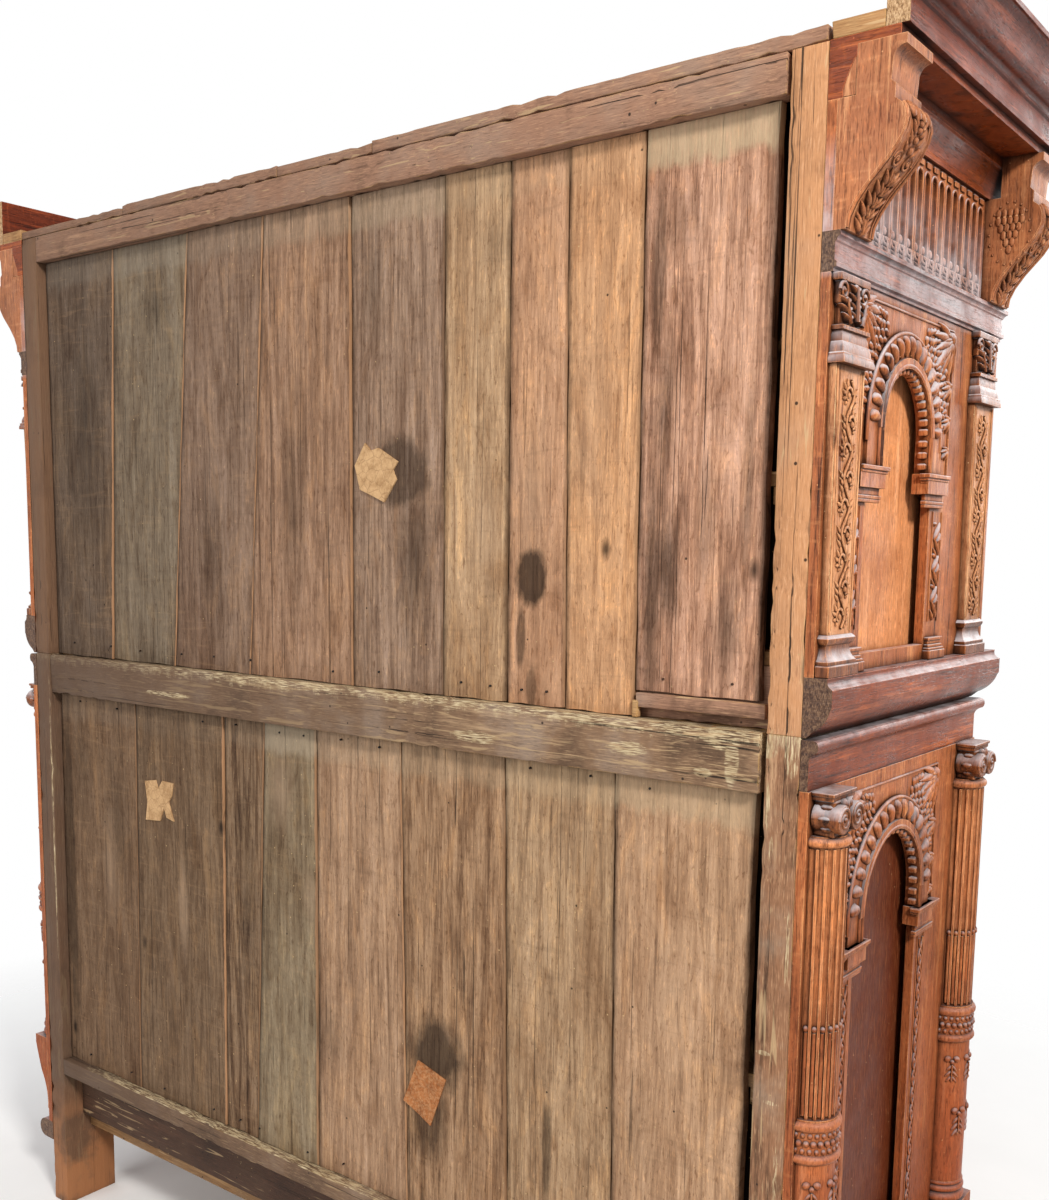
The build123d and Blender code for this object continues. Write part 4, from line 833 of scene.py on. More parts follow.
# Timbers of each frame node: finish, low corner, high corner and wear, all in mm, then + for those that
# are made once more on the other side.
TIMBERS = {
    "lower_posts": (
        ("grey_post", (866, 277, 0), (918, 404, 1280), 2.6, "+"),
        ("side_rail", (814, -250, 142), (918, -166, 1280), 1.0, "+"),
        ("side_rail", (-54, -250, 192), (54, -210, 1195), 1.0, ""),
    ),
    "lower_rails": (
        ("front_rail", (-814, -250, 142), (814, -210, 192), 1.0, ""),
        ("front_rail", (54, -250, 322), (814, -210, 362), 1.0, "+"),
        ("front_rail", (-814, -250, 1195), (814, -210, 1280), 1.0, ""),
        ("side_rail", (866, -166, 142), (918, 277, 400), 1.0, "+"),
        ("side_rail", (866, -166, 1195), (918, 277, 1280), 1.0, "+"),
        ("grey_rail", (-857, 370, 1195), (866, 404, 1280), 3.2, ""),
        ("grey_rail", (-866, 370, 315), (866, 404, 352), 2.4, ""),
        ("base_board", (-866, 338, 205), (866, 358, 315), 1.5, ""),
    ),
    "upper_posts": (
        ("post", (866, 277, 1280), (918, 404, 2160), 2.2, "+"),
        ("side_rail", (814, -250, 1280), (918, -166, 2160), 1.0, "+"),
        ("side_rail", (-54, -250, 1389), (54, -210, 1879), 1.0, ""),
    ),
    "upper_rails": (
        ("front_rail", (-814, -250, 1280), (814, -210, 1389), 1.0, ""),
        ("front_rail", (-814, -250, 1879), (814, -210, 2160), 1.0, ""),
        ("side_rail", (866, -166, 1280), (918, 277, 1380), 1.0, "+"),
        ("side_rail", (866, -166, 1860), (918, 277, 2160), 1.0, "+"),
        ("rail", (-860, 370, 2108), (866, 404, 2160), 2.4, ""),
        ("rail", (-866, 330, 1280), (866, 370, 1369), 1.5, ""),
    ),
    "upper_boards": (
        ("raw", (-866, -166, 1369), (866, 370, 1389), 1.0, ""),
        ("raw", (-814, -210, 1369), (814, -166, 1389), 0.6, ""),
        ("raw", (-866, -166, 1614), (866, 370, 1634), 1.0, ""),
        ("raw", (-814, -190, 1614), (814, -166, 1634), 0.6, ""),
        ("raw", (846, -166, 1589), (866, 370, 1613.8), 1.0, "+"),
        ("raw", (-990, -322, 2160), (990, -80, 2182), 1.5, ""),
        ("raw", (-990, -79.8, 2160), (990, 161.8, 2182), 1.5, ""),
        ("raw", (-918, 162, 2160), (918, 376, 2181), 1.5, ""),
        ("rail", (-914, 376, 2160.5), (-120, 403.5, 2181), 2.6, ""),
        ("rail", (-119, 378, 2160.5), (110, 403, 2178), 2.2, ""),
        ("rail", (111, 376, 2160.5), (560, 403.5, 2180), 2.6, ""),
        ("rail", (561, 378, 2160.5), (918, 403, 2176), 2.6, ""),
        ("hewn", (919, 162, 2160), (990, 404, 2182), 3.0, "+"),
    ),
}
# Small pieces let in at the back: finish, low corner, high corner, seed, wear and length of a cut.
LET_IN = {
    "lower_rails": (
        # near-black strip behind the end gap of the back boards: painted shade
        ("dark", (-865, 318, 365), (-800, 332, 1190), 22, 1.0, 40.0),
        ("hewn", (-845, 372, 1271), (-700, 402, 1279.5), 5, 2.2, 12.0),
    ),
    "upper_rails": (
        # near-black strip behind the end gap of the back boards: painted shade
        ("dark", (-865, 318, 1392), (-800, 332, 2104), 24, 1.0, 40.0),
        ("rail", (-856, 376, 1296), (-646, 390, 1318), 9, 1.8, 14.0),
        ("hewn", (-650, 380, 1281), (-640, 391, 1306), 12, 1.6, 8.0),
    ),
}


class CUPBOARD_OT_timbers(bpy.types.Operator):
    """Posts, rails and inner boards with worn and chipped arrises"""

    bl_idname = "cupboard.timbers"
    bl_label = "Saw the posts and rails"

    def execute(self, context):
        paint = finishes()
        for group, (node, pieces) in enumerate(TIMBERS.items()):
            made = []
            for n, (kind, low, high, worn, twin) in enumerate(pieces):
                for side in (1, -1) if twin else (1,):
                    left, right = sorted((side * low[0], side * high[0]))
                    seed = group * 31 + n * 7 + side
                    made.append(timber((left, *low[1:]), (right, *high[1:]), seed, worn, 16.0, paint[kind]))
            for kind, *sizes in LET_IN.get(node, ()):
                made.append(timber(*sizes, paint[kind]))
            whole = joined(made, f"{node}_timbers")
            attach(whole, "case")
            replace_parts(whole, node)
        return {"FINISHED"}


# Joints between the back boards in mm, left to right as seen from behind: x at the top, x at the foot.
# Then for each board: its tone, how strong its grain is, how much wash it has, how sunlit its left arris
# is, and how far it stands out, in mm.
BOARDS = {
    "upper": (
        ((863, 863), (623, 659), (386, 449), (168, 219), (-52, -54), (-263, -264), (-396, -398), (-505, -514),
         (-639, -642), (-846, -844)),
        (("#6c5c50", 0.35, 0.22, 0.9, -2.0), ("#827464", 0.35, 0.36, 1.0, -3.0),
         ("#8e7666", 0.45, 0.20, 1.0, -1.5), ("#a4846e", 0.55, 0.32, 0.8, 0.0),
         ("#a28876", 0.60, 0.40, 0.2, -2.0), ("#c0a080", 0.30, 0.20, 0.1, -1.0),
         ("#c2987a", 0.30, 0.16, 0.5, -2.5), ("#d2a47e", 0.25, 0.10, 0.4, -1.0),
         ("#d4a890", 0.75, 0.90, 0.0, 0.0)),
    ),
    "lower": (
        ((858, 865), (586, 598), (303, 313), (183, 218), (42, 44), (-169, -186), (-397, -413), (-610, -622),
         (-847, -842)),
        (("#7a624e", 0.30, 0.12, 0.5, -2.0), ("#7a6450", 0.40, 0.08, 1.0, -1.0),
         ("#907862", 1.00, 0.15, 0.6, -3.0), ("#92826c", 0.35, 0.70, 0.7, -1.0),
         ("#b29278", 0.45, 0.35, 1.0, -2.5), ("#ac8c70", 0.85, 0.30, 0.4, -1.0),
         ("#b6987a", 0.45, 0.35, 0.2, -2.0), ("#c29e80", 0.40, 0.55, 0.0, 0.0)),
    ),
}
SHORT_BOARD = 8
SHORT_BY = 0.039


def back_board(ends, low, high, look, number):
    """One board between two joints: a plank cut into short lengths whose edges wander."""
    tone, grain, wash, lit, out = look
    (left_top, left_foot), (right_top, right_foot) = ends
    thick = bpy.context.scene.cupboard_boards.board_thickness
    gap = 0.0009
    wide = 0.0016 * chance(number, 4)
    lengths, strips = 16, 4

    def edges(w):
        left = (left_foot + (left_top - left_foot) * w) * MM
        return left, (right_foot + (right_top - right_foot) * w) * MM

    deselect()
    bpy.ops.mesh.primitive_cube_add(size=1, location=(0.5, -0.5, 0.5))
    item = settle(bpy.context.object)
    sliced(item, [((0, 0, n / lengths), (0, 0, 1)) for n in range(1, lengths)])
    sliced(item, [((n / strips, 0, 0), (1, 0, 0)) for n in range(1, strips)])
    for spot in item.data.vertices:
        u, v, w = spot.co
        up = low + (high - low) * w
        left, right = edges(w)
        left -= gap
        right += gap + wide * (0.4 + 0.6 * w)
        across = left + (right - left) * u
        if u < 0.01 or u > 0.99:
            across += 0.0011 * sin(number * 5.1 + w * 23 + u * 3) + 0.0007 * sin(number * 3.3 + w * 57)
        bow = 0.0016 * sin(pi * u) * sin(number * 2.7)
        twist = 0.001 * (u - 0.5) * sin(number + 4 * w)
        if w < 0.01:
            up += 0.0012 * (1 + sin(number * 7 + u * 9))
        spot.co = (across, BOARD_FACE + v * thick + out * MM + bow + twist - 0.0012, up)
    ease(item, 0.0009, sharp=True)
    bpy.ops.object.mode_set(mode="EDIT")
    faced_out(item, 30)
    count = len(item.data.vertices)
    near, glow = [], []
    for spot in item.data.vertices:
        left, right = edges((spot.co.z - low) / (high - low))
        from_left, from_right = left - spot.co.x, spot.co.x - right
        near.append(max(0.0, min(from_left, from_right)))
        glow.append(lit if from_left > from_right else 0.0)
    marks = {"board_edge": near, "board_lit": glow, "board_grain": [grain] * count,
             "board_wash": [wash] * count, "board_shift": [number * 3.71] * count}
    for title, values in marks.items():
        item.data.attributes.new(title, "FLOAT", "POINT").data.foreach_set("value", values)
    shade = item.data.attributes.new("board_tone", "FLOAT_COLOR", "POINT")
    shade.data.foreach_set("color", colour(tone) * count)
    return item


class CUPBOARD_OT_back_boards(bpy.types.Operator):
    """Back boards, each sawn, warped and toned on its own"""

    bl_idname = "cupboard.back_boards"
    bl_label = "Nail on the back boards"

    def execute(self, context):
        for (name, (joints, looks)), first in zip(BOARDS.items(), (1, 21)):
            (_, _, low), (_, _, high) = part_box(f"{name}_back_boards")
            made = []
            for n, ends in enumerate(zip(joints, joints[1:])):
                foot = low + (SHORT_BY if name == "upper" and n == SHORT_BOARD else 0.0)
                made.append(back_board(ends, foot, high, looks[n], first + n))
            item = dress(joined(made, f"{name}_boards"), finishes()["boards"], "case")
            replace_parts(item, f"{name}_back_boards")
        return {"FINISHED"}


def petal(base, tip, width, height, face=0.0, segments=8, rings=6):
    """A pointed lobe on the face, from base to tip (each x, z), swelling near its base."""
    run = Vector((tip[0] - base[0], 0, tip[1] - base[1]))
    item = ball((0, 0, 0), (width / 2, height, run.length / 2), segments, rings)
    for spot in item.data.vertices:
        slim = 1.25 - (1.25 - 0.35) * max(0.0, spot.co.z / run.length + 0.5)
        spot.co.x *= slim
        spot.co.y *= 0.6 + 0.4 * slim
    turn = tilted(atan2(run.x, run.z))
    place = at(((base[0] + tip[0]) / 2, face, (base[1] + tip[1]) / 2))
    item.data.transform(place @ turn)
    return item


@carved
def leaf(length, width, height, lobes=5, curl=0.0):
    """A carved leaf along +z on the face (x across, -y outward): pointed lobes on both sides of a rib."""
    def rib(t):
        return curl * sin(t * pi / 2), length * t

    yield cord([(rib(n / 6)[0], -height * 0.75, rib(n / 6)[1]) for n in range(7)], height * 0.30, 1,
               [1.2, 1.15, 1.1, 1.0, 0.85, 0.7, 0.5])
    for n in range(lobes):
        t = (n + 0.15) / lobes
        reach = width * 0.5 * sin(pi * (0.28 + 0.55 * t))
        x, z = rib(t)
        for s in (-1, 1):
            yield petal((x, z), (x + s * reach, z + length / lobes * 1.15), length / lobes * 0.62, height)
    yield petal(rib(0.82), rib(1.12), width * 0.3, height)


@carved
def volute(radius, turns, thick, side=1):
    """A spiral line on the face, closing on an eye."""
    steps = 26
    points, widths = [], []
    for n in range(steps + 1):
        t = n / steps
        angle = pi * 2 * turns * t
        r = radius * (1 - t) ** 0.8 + thick * 0.6
        points.append((side * r * cos(angle), 0, r * sin(angle)))
        widths.append(1.0 - 0.45 * t)
    yield cord(points, thick, 2, widths)
    yield ball((0, 0, 0), (thick * 1.3,) * 3, 10, 6)


# Outlines of the torn scraps, x and z in mm
SCRAPS = (
    ("label", ((-62, 1662), (-86, 1699), (-100, 1686), (-118, 1690), (-163, 1666), (-152, 1652), (-160, 1636),
               (-141, 1612), (-131, 1599), (-104, 1610), (-74, 1621))),
    ("label_red", ((-178, 551), (-212, 633), (-232, 628), (-277, 615), (-262, 574), (-242, 522),
                   (-214, 536))),
    ("label", ((556, 1034), (520, 1040), (512, 1022), (498, 1041), (463, 1040), (468, 1012), (478, 1000),
               (470, 978), (462, 961), (486, 966), (494, 986), (508, 956), (556, 952), (549, 990))),
)
NAIL_ROWS = {"upper": (1.302,), "lower": (0.372, 1.176)}
NAIL_HEAD = ((0.0, 0.0012, 0), (0.0012, 0.0011, 0), (0.0019, 0.0004, 0), (0.0020, -0.003, 0),
             (0.0, -0.003, 0))


class CUPBOARD_OT_scraps(bpy.types.Operator):
    """Torn paper scraps, and nails along the ends of the back boards"""

    bl_idname = "cupboard.scraps"
    bl_label = "Paste the scraps and drive the nails"

    def execute(self, context):
        paint = finishes()
        made = []
        for kind, outline in SCRAPS:
            item = prism([(x * MM, REAR_Y - 0.0172, z * MM) for x, z in outline], (0, -0.0032, 0))
            item.data.materials.append(paint[kind])
            made.append(item)
        nails = []
        for name, heights in NAIL_ROWS.items():
            joints = BOARDS[name][0]
            for n, (a, b) in enumerate(zip(joints, joints[1:])):
                for row, z in enumerate(heights):
                    for k in (0.22, 0.74):
                        if chance(n, row, k, 9) < 0.4:
                            continue
                        x = (a[0] + (b[0] - a[0]) * (k + 0.1 * chance(n, row, k))) * MM
                        lift = 0.035 if n == SHORT_BOARD and row == 0 else 0.0
                        up = z + lift + 0.008 * chance(n, k, row, 3)
                        nails.append(at((x, REAR_Y - 0.0182, up)))
        head = turned(NAIL_HEAD, (0, 0, 0), (0, 1, 0), 8)
        repeated(head, nails, "back_nails", paint["iron"])
        whole = joined(made, "torn_scraps")
        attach(whole, "case")
        return {"FINISHED"}


PILASTER_LOW, PILASTER_HIGH = 1.417, 1.767
# Half width, reach and height above its seat, step by step
PILASTER_FOOT = ((0.046, 0.031, 0.016), (0.046, 0.031, 0.021), (0.043, 0.028, 0.024), (0.0405, 0.0255, 0.029),
                 (0.0385, 0.0235, 0.036), (0.039, 0.024, 0.042), (0.0425, 0.0275, 0.0445),
                 (0.0445, 0.0295, 0.0485), (0.0445, 0.0295, 0.0515), (0.042, 0.027, 0.0545),
                 (0.040, 0.025, 0.056))
PILASTER_HEAD = ((0.049, 0.037, 0.0), (0.049, 0.037, 0.006), (0.0475, 0.0355, 0.009), (0.0475, 0.0355, 0.012),
                 (0.045, 0.033, 0.014), (0.0445, 0.0325, 0.020), (0.0425, 0.0305, 0.026),
                 (0.041, 0.029, 0.028), (0.041, 0.029, 0.036), (0.0395, 0.0275, 0.039),
                 (0.0395, 0.0275, 0.041), (0.0425, 0.031, 0.0425), (0.0425, 0.031, 0.0475),
                 (0.037, 0.024, 0.049))


@carved
def pilaster_scroll():
    """The carving of one pilaster, in local axes: curled leaves on a waving stem."""
    pitch = bpy.context.scene.cupboard_carving.scroll_pitch
    face = -(FACING + 0.0105)
    for s in (-1, 1):
        for foot, head, inset, thick in ((0.0335, 0.0410, 0.003, 0.0024), (0.0268, 0.0335, 0.006, 0.0014)):
            yield cord([(s * foot, face, PILASTER_LOW + inset), (s * head, face, PILASTER_HIGH - inset)],
                       thick)
    count = int((PILASTER_HIGH - PILASTER_LOW - 0.012) / pitch)
    start = PILASTER_LOW + 0.008
    yield cord([(0.0105 * sin(pi * n / 6), face - 0.0015, start + n / 6 * pitch)
                for n in range(count * 6 + 1)], 0.0026)
    for n in range(count):
        s = 1 if n % 2 == 0 else -1
        z = start + (n + 0.45) * pitch
        x = -s * 0.0075
        curl = [polar(x, z, 0.0125 * (1 - 0.07 * k), 0.2 + 0.62 * k, s) for k in range(8)]
        yield cord([(a, face - 0.002, b) for a, b in curl], 0.0023, 1, [1.2 - 0.07 * k for k in range(8)])
        yield ball((x, face - 0.001, z), (0.0044, 0.0045, 0.0044))
        for k in range(5):
            turn = -1.1 + k * 0.62
            yield petal(polar(x, z, 0.009, turn, -s), polar(x, z + 0.004, 0.0185, turn, -s), 0.0078, 0.0042,
                        face)
        for k in range(3):
            x, up = s * (0.010 + 0.001 * k), z - 0.016 + 0.009 * k
            yield petal((x, up), (x + s * 0.0125, up + 0.010), 0.0070, 0.0040, face)


def tiers(outline, z):
    """Stepped block whose half width, reach and height follow an outline."""
    deselect()
    bpy.ops.mesh.primitive_plane_add(size=1, location=(0, -0.5, 0))
    item = settle(bpy.context.object)
    half, reach, up = outline[0]
    for spot in item.data.vertices:
        x, y, _ = spot.co
        spot.co = (2 * x * half, -reach if y < -0.5 else -FACING, z + up)
    bpy.ops.object.mode_set(mode="EDIT")
    bpy.ops.mesh.select_all(action="SELECT")
    for a, b in zip(outline, outline[1:]):
        bpy.ops.mesh.extrude_region_move(TRANSFORM_OT_translate={"value": (0, 0, b[2] - a[2])})
        swell = (b[0] / a[0], (b[1] - FACING) / (a[1] - FACING), 1)
        bpy.ops.transform.resize(value=swell, center_override=(0, -FACING, 0))
    return faced_out(item, 35)


@carved
def pilaster_foot():
    """Moulded foot of a pilaster: block, fillet, hollow and roll, in local axes."""
    z = 1.361
    yield slab(0.049, 0.034, z, z + 0.016, 0.0015)
    yield tiers(PILASTER_FOOT, z)


@carved
def pilaster_head():
    """Flared steps, neck and leaf capital of a pilaster, in local axes."""
    z = PILASTER_HIGH
    yield tiers(PILASTER_HEAD, z)
    for half, reach, low, high, soft in ((0.035, 0.021, 0.048, 0.076, 0.001),
                                         (0.040, 0.024, 0.075, 0.104, 0.002),
                                         (0.046, 0.028, 0.103, 0.113, 0.0015)):
        yield slab(half, reach, z + low, z + high, soft)
    for s in (-1, 1):
        yield put(volute(0.0105, 1.4, 0.0026, s), (s * 0.033, -0.0258, z + 0.091))
        yield put(leaf(0.030, 0.030, 0.010, 3, s * 0.010), (s * 0.018, -0.022, z + 0.052))
    yield put(leaf(0.044, 0.038, 0.012, 4), (0, -0.021, z + 0.056))


class CUPBOARD_OT_pilasters(bpy.types.Operator):
    """Running scroll on the pilasters, and their moulded feet and heads"""

    bl_idname = "cupboard.pilasters"
    bl_label = "Carve the pilasters"

    def execute(self, context):
        paint = finishes()
        places = stations((-POST_X, 0, POST_X), (0.050, 0.583))
        repeated(pilaster_scroll(), places, "pilaster_carving", paint["pilaster"])
        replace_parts(repeated(pilaster_foot(), places, "pilaster_feet", paint["grimy"]), "pilaster_bases")
        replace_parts(repeated(pilaster_head(), places, "pilaster_heads", paint["grimy"]), "pilaster_capitals")
        return {"FINISHED"}


def gadroon(low, high, width, height):
    """One lobe of the arch along +z, broad and round at its outer end."""
    item = ball((0, 0, (low + high) / 2), (width / 2, height, (high - low) / 2), 8, 8)
    for spot in item.data.vertices:
        t = (spot.co.z - low) / (high - low)
        spot.co.x = spot.co.x * (0.55 + 0.55 * t) + 0.0035 * sin(pi * t)
    return item


# Members of an impost below its top: from, to, how far the tip and the face stand out
IMPOST = ((0.0, 0.006, 0.0175, 0.016), (0.006, 0.010, 0.0150, 0.0135), (0.010, 0.014, 0.0115, 0.011),
          (0.014, 0.018, 0.0075, 0.0085), (0.018, 0.040, 0.0045, 0.006), (0.040, 0.045, 0.0075, 0.008),
          (0.045, 0.050, 0.0060, 0.007))


@carved
def arch_carving(radius, spring, impost_top, reach, crown):
    """Lobes, dentils, roll mouldings, imposts and corner leaves of one arch in local axes."""
    settings = bpy.context.scene.cupboard_carving
    face = -FACING
    outer = radius + 0.047
    count = settings.lobes
    lobe = gadroon(radius + 0.0155, outer - 0.001, pi * (radius + 0.034) / count * 0.86, 0.0080)
    hub = at((0, face - 0.006, spring))
    yield copied(lobe, [hub @ tilted(pi / 2 - pi * (n + 0.5) / count) for n in range(count)], "lobes")
    discard(lobe)
    for r, thick, out, low in ((radius + 0.0035, 0.0036, 0.0215, impost_top),
                               (radius + 0.0112, 0.0034, 0.0205, impost_top),
                               (outer + 0.0015, 0.0030, 0.0185, spring - 0.02)):
        yield cord([(r, -out, low), *arc((0, -out, spring), r, 32), (-r, -out, low)], thick, 2)
    # dentils round the inside edge and down to the imposts
    tooth = block((-0.0050, -0.0195, -0.0048), (0.0050, -0.0065, 0.0048), 0.0024)
    places = []
    r = radius - 0.0036
    for n in range(settings.dentils):
        angle = pi * (n + 0.5) / settings.dentils
        places.append(at((r * cos(angle), 0, spring + r * sin(angle))) @ tilted(pi / 2 - angle))
    tooth_pitch = 0.017
    places += [at((s * r, 0, spring - 0.010 - n * tooth_pitch)) @ tilted(pi / 2) for s in (-1, 1)
               for n in range(int((spring - impost_top) / tooth_pitch))]
    yield copied(tooth, places, "teeth")
    discard(tooth)
    edge, top = reach + 0.015, crown + 0.014
    yield cord([(-edge, face, impost_top), (-edge, face, top), (edge, face, top), (edge, face, impost_top)],
               0.0028)
    for s in (-1, 1):
        for low, high, tip, out in IMPOST:
            x0, x1 = sorted((s * (radius + 0.003 - tip), s * (radius + 0.072 + tip * 0.4)))
            yield block((x0, face - out, impost_top - high), (x1, face, impost_top - low), 0.0011)
        # straight outer strip between the ring and the impost, with slanting leaves
        for n in range(5):
            z = impost_top + 0.006 + n * (spring + 0.02 - impost_top) / 5
            x = s * (radius + 0.034)
            yield petal((x - s * 0.010, z), (x + s * 0.012, z + 0.022), 0.011, 0.006, face)
        # corner leaves: a fan that springs from the outer corner
        corner = (s * reach, crown)
        middle = atan2(spring - crown, -s * reach)
        far = hypot(reach, crown - spring) - outer - 0.008
        for n in range(7):
            turn = middle + (n - 3) * 0.36
            size = far * (0.92 - 0.05 * abs(n - 3)) * (1.0 if n % 2 else 0.84)
            yield petal(polar(*corner, 0.006, turn), polar(*corner, size, turn), 0.019, 0.0090, face)
            yield petal(corner, polar(*corner, size * 0.6, turn + 0.18), 0.010, 0.0105, face)
        # low leaves that fill the rest of the corner
        low, places = petal((0, 0), (0.017, 0), 0.0115, 0.0050, face, 6, 4), []
        for row in range(12):
            for col in range(8):
                x = reach + 0.006 - col * 0.0135 - (row % 2) * 0.00675
                z = crown + 0.006 - row * 0.0125
                if hypot(x, z - spring) < outer + 0.010 or z < spring - 0.012 or x < 0.03:
                    continue
                lean = atan2(z - spring, x) + 0.5 * sin(row * 1.7 + col)
                turn = atan2(sin(lean), -s * cos(lean))
                places.append(at((s * x, 0, z)) @ tilted(turn))
        yield copied(low, places, "low_leaves")
        discard(low)
        yield ball((corner[0], face - 0.003, crown), (0.011, 0.008, 0.011), 10, 6)
        # sprays down the outer edge
        for along, size in ((0.45, 0.8), (0.78, 0.65), (1.08, 0.5)):
            x, z = s * (reach + 0.006), crown - along * (crown - spring)
            for turn, long in ((0.2, 0.036), (0.75, 0.042), (1.3, 0.036), (1.8, 0.026)):
                tip = (x - s * long * size * sin(turn), z - long * size * cos(turn))
                yield petal((x, z), tip, 0.017 * size, 0.0075, face)
            yield ball((x, face, z), (0.0065 * size, 0.0075, 0.0065 * size))


@carved
def jamb_carving(low, high, middle, slanting):
    """One carved jamb strip in local axes: slanting leaves between fillets, or a wavy double band."""
    face = -FACING
    wide = 0.019 if slanting else 0.013
    for s in (-1, 1):
        yield cord([(middle + s * wide, face, low), (middle + s * wide, face, high)], 0.0018)
    if slanting:
        pitch = 0.024
        for n in range(int((high - low) / pitch) - 1):
            z = low + (n + 0.2) * pitch
            s = 1 if n % 2 else -1
            yield petal((middle - s * 0.012, z), (middle + s * 0.012, z + 0.030), 0.0105, 0.0062, face)
            yield petal((middle + s * 0.002, z - 0.004), (middle + s * 0.014, z + 0.014), 0.0065, 0.0055,
                        face)
            yield ball((middle - s * 0.0115, face, z + 0.026), (0.0034, 0.005, 0.0034))
    else:
        step, pitch = 0.006, 0.030
        for phase in (0, pi):
            yield cord([(middle + 0.0072 * sin(phase + n * step / pitch * pi), face - 0.001, low + n * step)
                        for n in range(int((high - low) / step))], 0.0024)
        for n in range(int((high - low) / pitch)):
            yield ball((middle, face, low + (n + 0.5) * pitch), (0.0036, 0.0038, 0.0060))


@carved
def jamb_foot(low, middle):
    """Small moulded base and dado under a carved jamb, in local axes."""
    for a, b, half, out in ((0.0, 0.014, 0.034, 0.012), (0.014, 0.018, 0.032, 0.010),
                            (0.018, 0.023, 0.0295, 0.008), (0.023, 0.029, 0.0275, 0.006),
                            (0.029, 0.034, 0.030, 0.0085)):
        yield block((middle - half, -FACING - out, low + a), (middle + half, -FACING, low + b), 0.0011)


class CUPBOARD_OT_arches(bpy.types.Operator):
    """Carved arches of the sides and the doors"""

    bl_idname = "cupboard.arches"
    bl_label = "Carve the arches"

    def execute(self, context):
        paint = finishes()["carved"]
        sides = (
            (0.265, [arch_carving(0.090, 1.699, 1.645, 0.172, 1.853),
                     *(jamb_carving(1.420, 1.590, x, True) for x in (-0.160, 0.160)),
                     *(jamb_foot(1.3615, x) for x in (-0.160, 0.160))]),
            (0.300, [arch_carving(0.112, 0.995, 0.959, 0.172, 1.170),
                     *(jamb_carving(0.25, 0.905, x, False) for x in (-0.152, 0.152))]),
        )
        for s, name in ((-1, "left"), (1, "right")):
            made = [copied(piece, [side_place(s, rear)], "side")
                    for rear, pieces in sides for piece in pieces]
            dress(joined(made, f"{name}_side_carving"), paint)
        discard(*sides[0][1], *sides[1][1])
        doors = {
            "upper": (arch_carving(0.090, 1.699, 1.645, 0.150, 1.845), jamb_carving(1.450, 1.590, 0.0, True)),
            "lower": (arch_carving(0.112, 0.995, 0.959, 0.155, 1.170), jamb_carving(0.47, 0.905, 0.0, False)),
        }
        bay = 0.1885
        for case, (arch, jamb) in doors.items():
            for side in ("left", "right"):
                body = f"{case}_{side}_door"
                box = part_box(f"{body}_arcade")
                middle = (box[0][0] + box[1][0]) / 2
                made = [copied(arch, [front_place(middle - bay), front_place(middle + bay)], "arches"),
                        copied(jamb, [front_place(middle + k * bay * 2) for k in (-0.77, 0, 0.77)], "jambs")]
                dress(joined(made, f"{body}_carving"), paint, body)
            discard(arch, jamb)
        return {"FINISHED"}


@carved
def column_carving():
    """What is carved on one column, in local axes."""
    bead = bpy.context.scene.cupboard_carving.bead

    def around(radius, turn, z):
        return radius * cos(turn), -FACING - radius * sin(turn), z

    for n in range(13):
        angle = pi * (n + 0.5) / 13
        yield ball(around(0.0415, angle, 0.7135), (bead * 1.1,) * 3, 8, 6)
        for z, tall in ((0.7015, 0.0045), (0.7245, 0.0040)):
            yield ball(around(0.0405, angle + pi / 26, z), (0.0036, 0.0036, tall))
    # cabling that fills the lower part of each flute
    for n in range(10):
        angle = radians(9 + 18 * n)
        yield cord([around(0.0352, angle, 0.752), around(0.0352, angle, 0.872)], 0.0036)
        yield ball(around(0.0372, angle, 0.877), (0.0038, 0.0038, 0.0046))
    # drops on the drum: two buds over a hanging leaf
    for turn, z, size in ((-0.95, 0.652, 1.0), (0.0, 0.652, 1.0), (0.95, 0.652, 1.0), (-0.5, 0.557, 1.1),
                          (0.5, 0.557, 1.1)):
        bud = (0.0062 * size, 0.0048, 0.0054 * size)
        parts = [ball((k * 0.0075 * size, 0, 0), bud, 10, 6, (0, k * 0.5, 0)) for k in (-1, 1)]
        parts.append(ball((0, -0.001, -0.005), (0.0042, 0.0046, 0.0042)))
        frond = leaf(0.030 * size, 0.024 * size, 0.0048, 3)
        frond.data.transform(at((0, 0.001, -0.010)) @ tilted(pi))
        drop = joined(parts + [frond], "drop")
        drop.data.transform(at((0, -FACING, z)) @ tilted(turn, "Z") @ at((0, -0.0385, 0)))
        yield drop


# Outline of half a bolster of the roll capital: radius, place along its axis
BOLSTER = ((0.0, -0.016), (0.0195, -0.016), (0.0200, -0.022), (0.0165, -0.030), (0.0175, -0.034),
           (0.0165, -0.038), (0.0200, -0.046), (0.0205, -0.054), (0.0190, -0.0565), (0.004, -0.0565),
           (0.0, -0.0565))


@carved
def column_capital():
    """Roll capital: two bolsters with volute ends, egg and dart between, and the abacus."""
    z = 1.1715
    for half, reach, low, high, soft in ((0.030, 0.046, 1.146, 1.197, 0.003),
                                         (0.036, 0.045, 1.196, 1.2025, 0.001),
                                         (0.038, 0.047, 1.202, 1.207, 0.001)):
        yield slab(half, reach, low, high, soft)
    for x in (-0.021, 0.021):
        yield turned([(x + r, y, z) for r, y in BOLSTER], (x, 0, z), (0, 1, 0), 24)
        yield put(volute(0.0155, 1.6, 0.0030, 1 if x > 0 else -1), (x, -0.0562, z))
        for spot in arc((x, -0.034, z), 0.0172, 6, pi * 2)[:-1]:
            yield ball(spot, (0.0045, 0.010, 0.0045))
    for x in (-0.008, 0.008):
        yield ball((x, -0.048, 1.190), (0.0062, 0.006, 0.0085), 10, 6)
    yield ball((0, -0.050, 1.186), (0.0026, 0.004, 0.010))


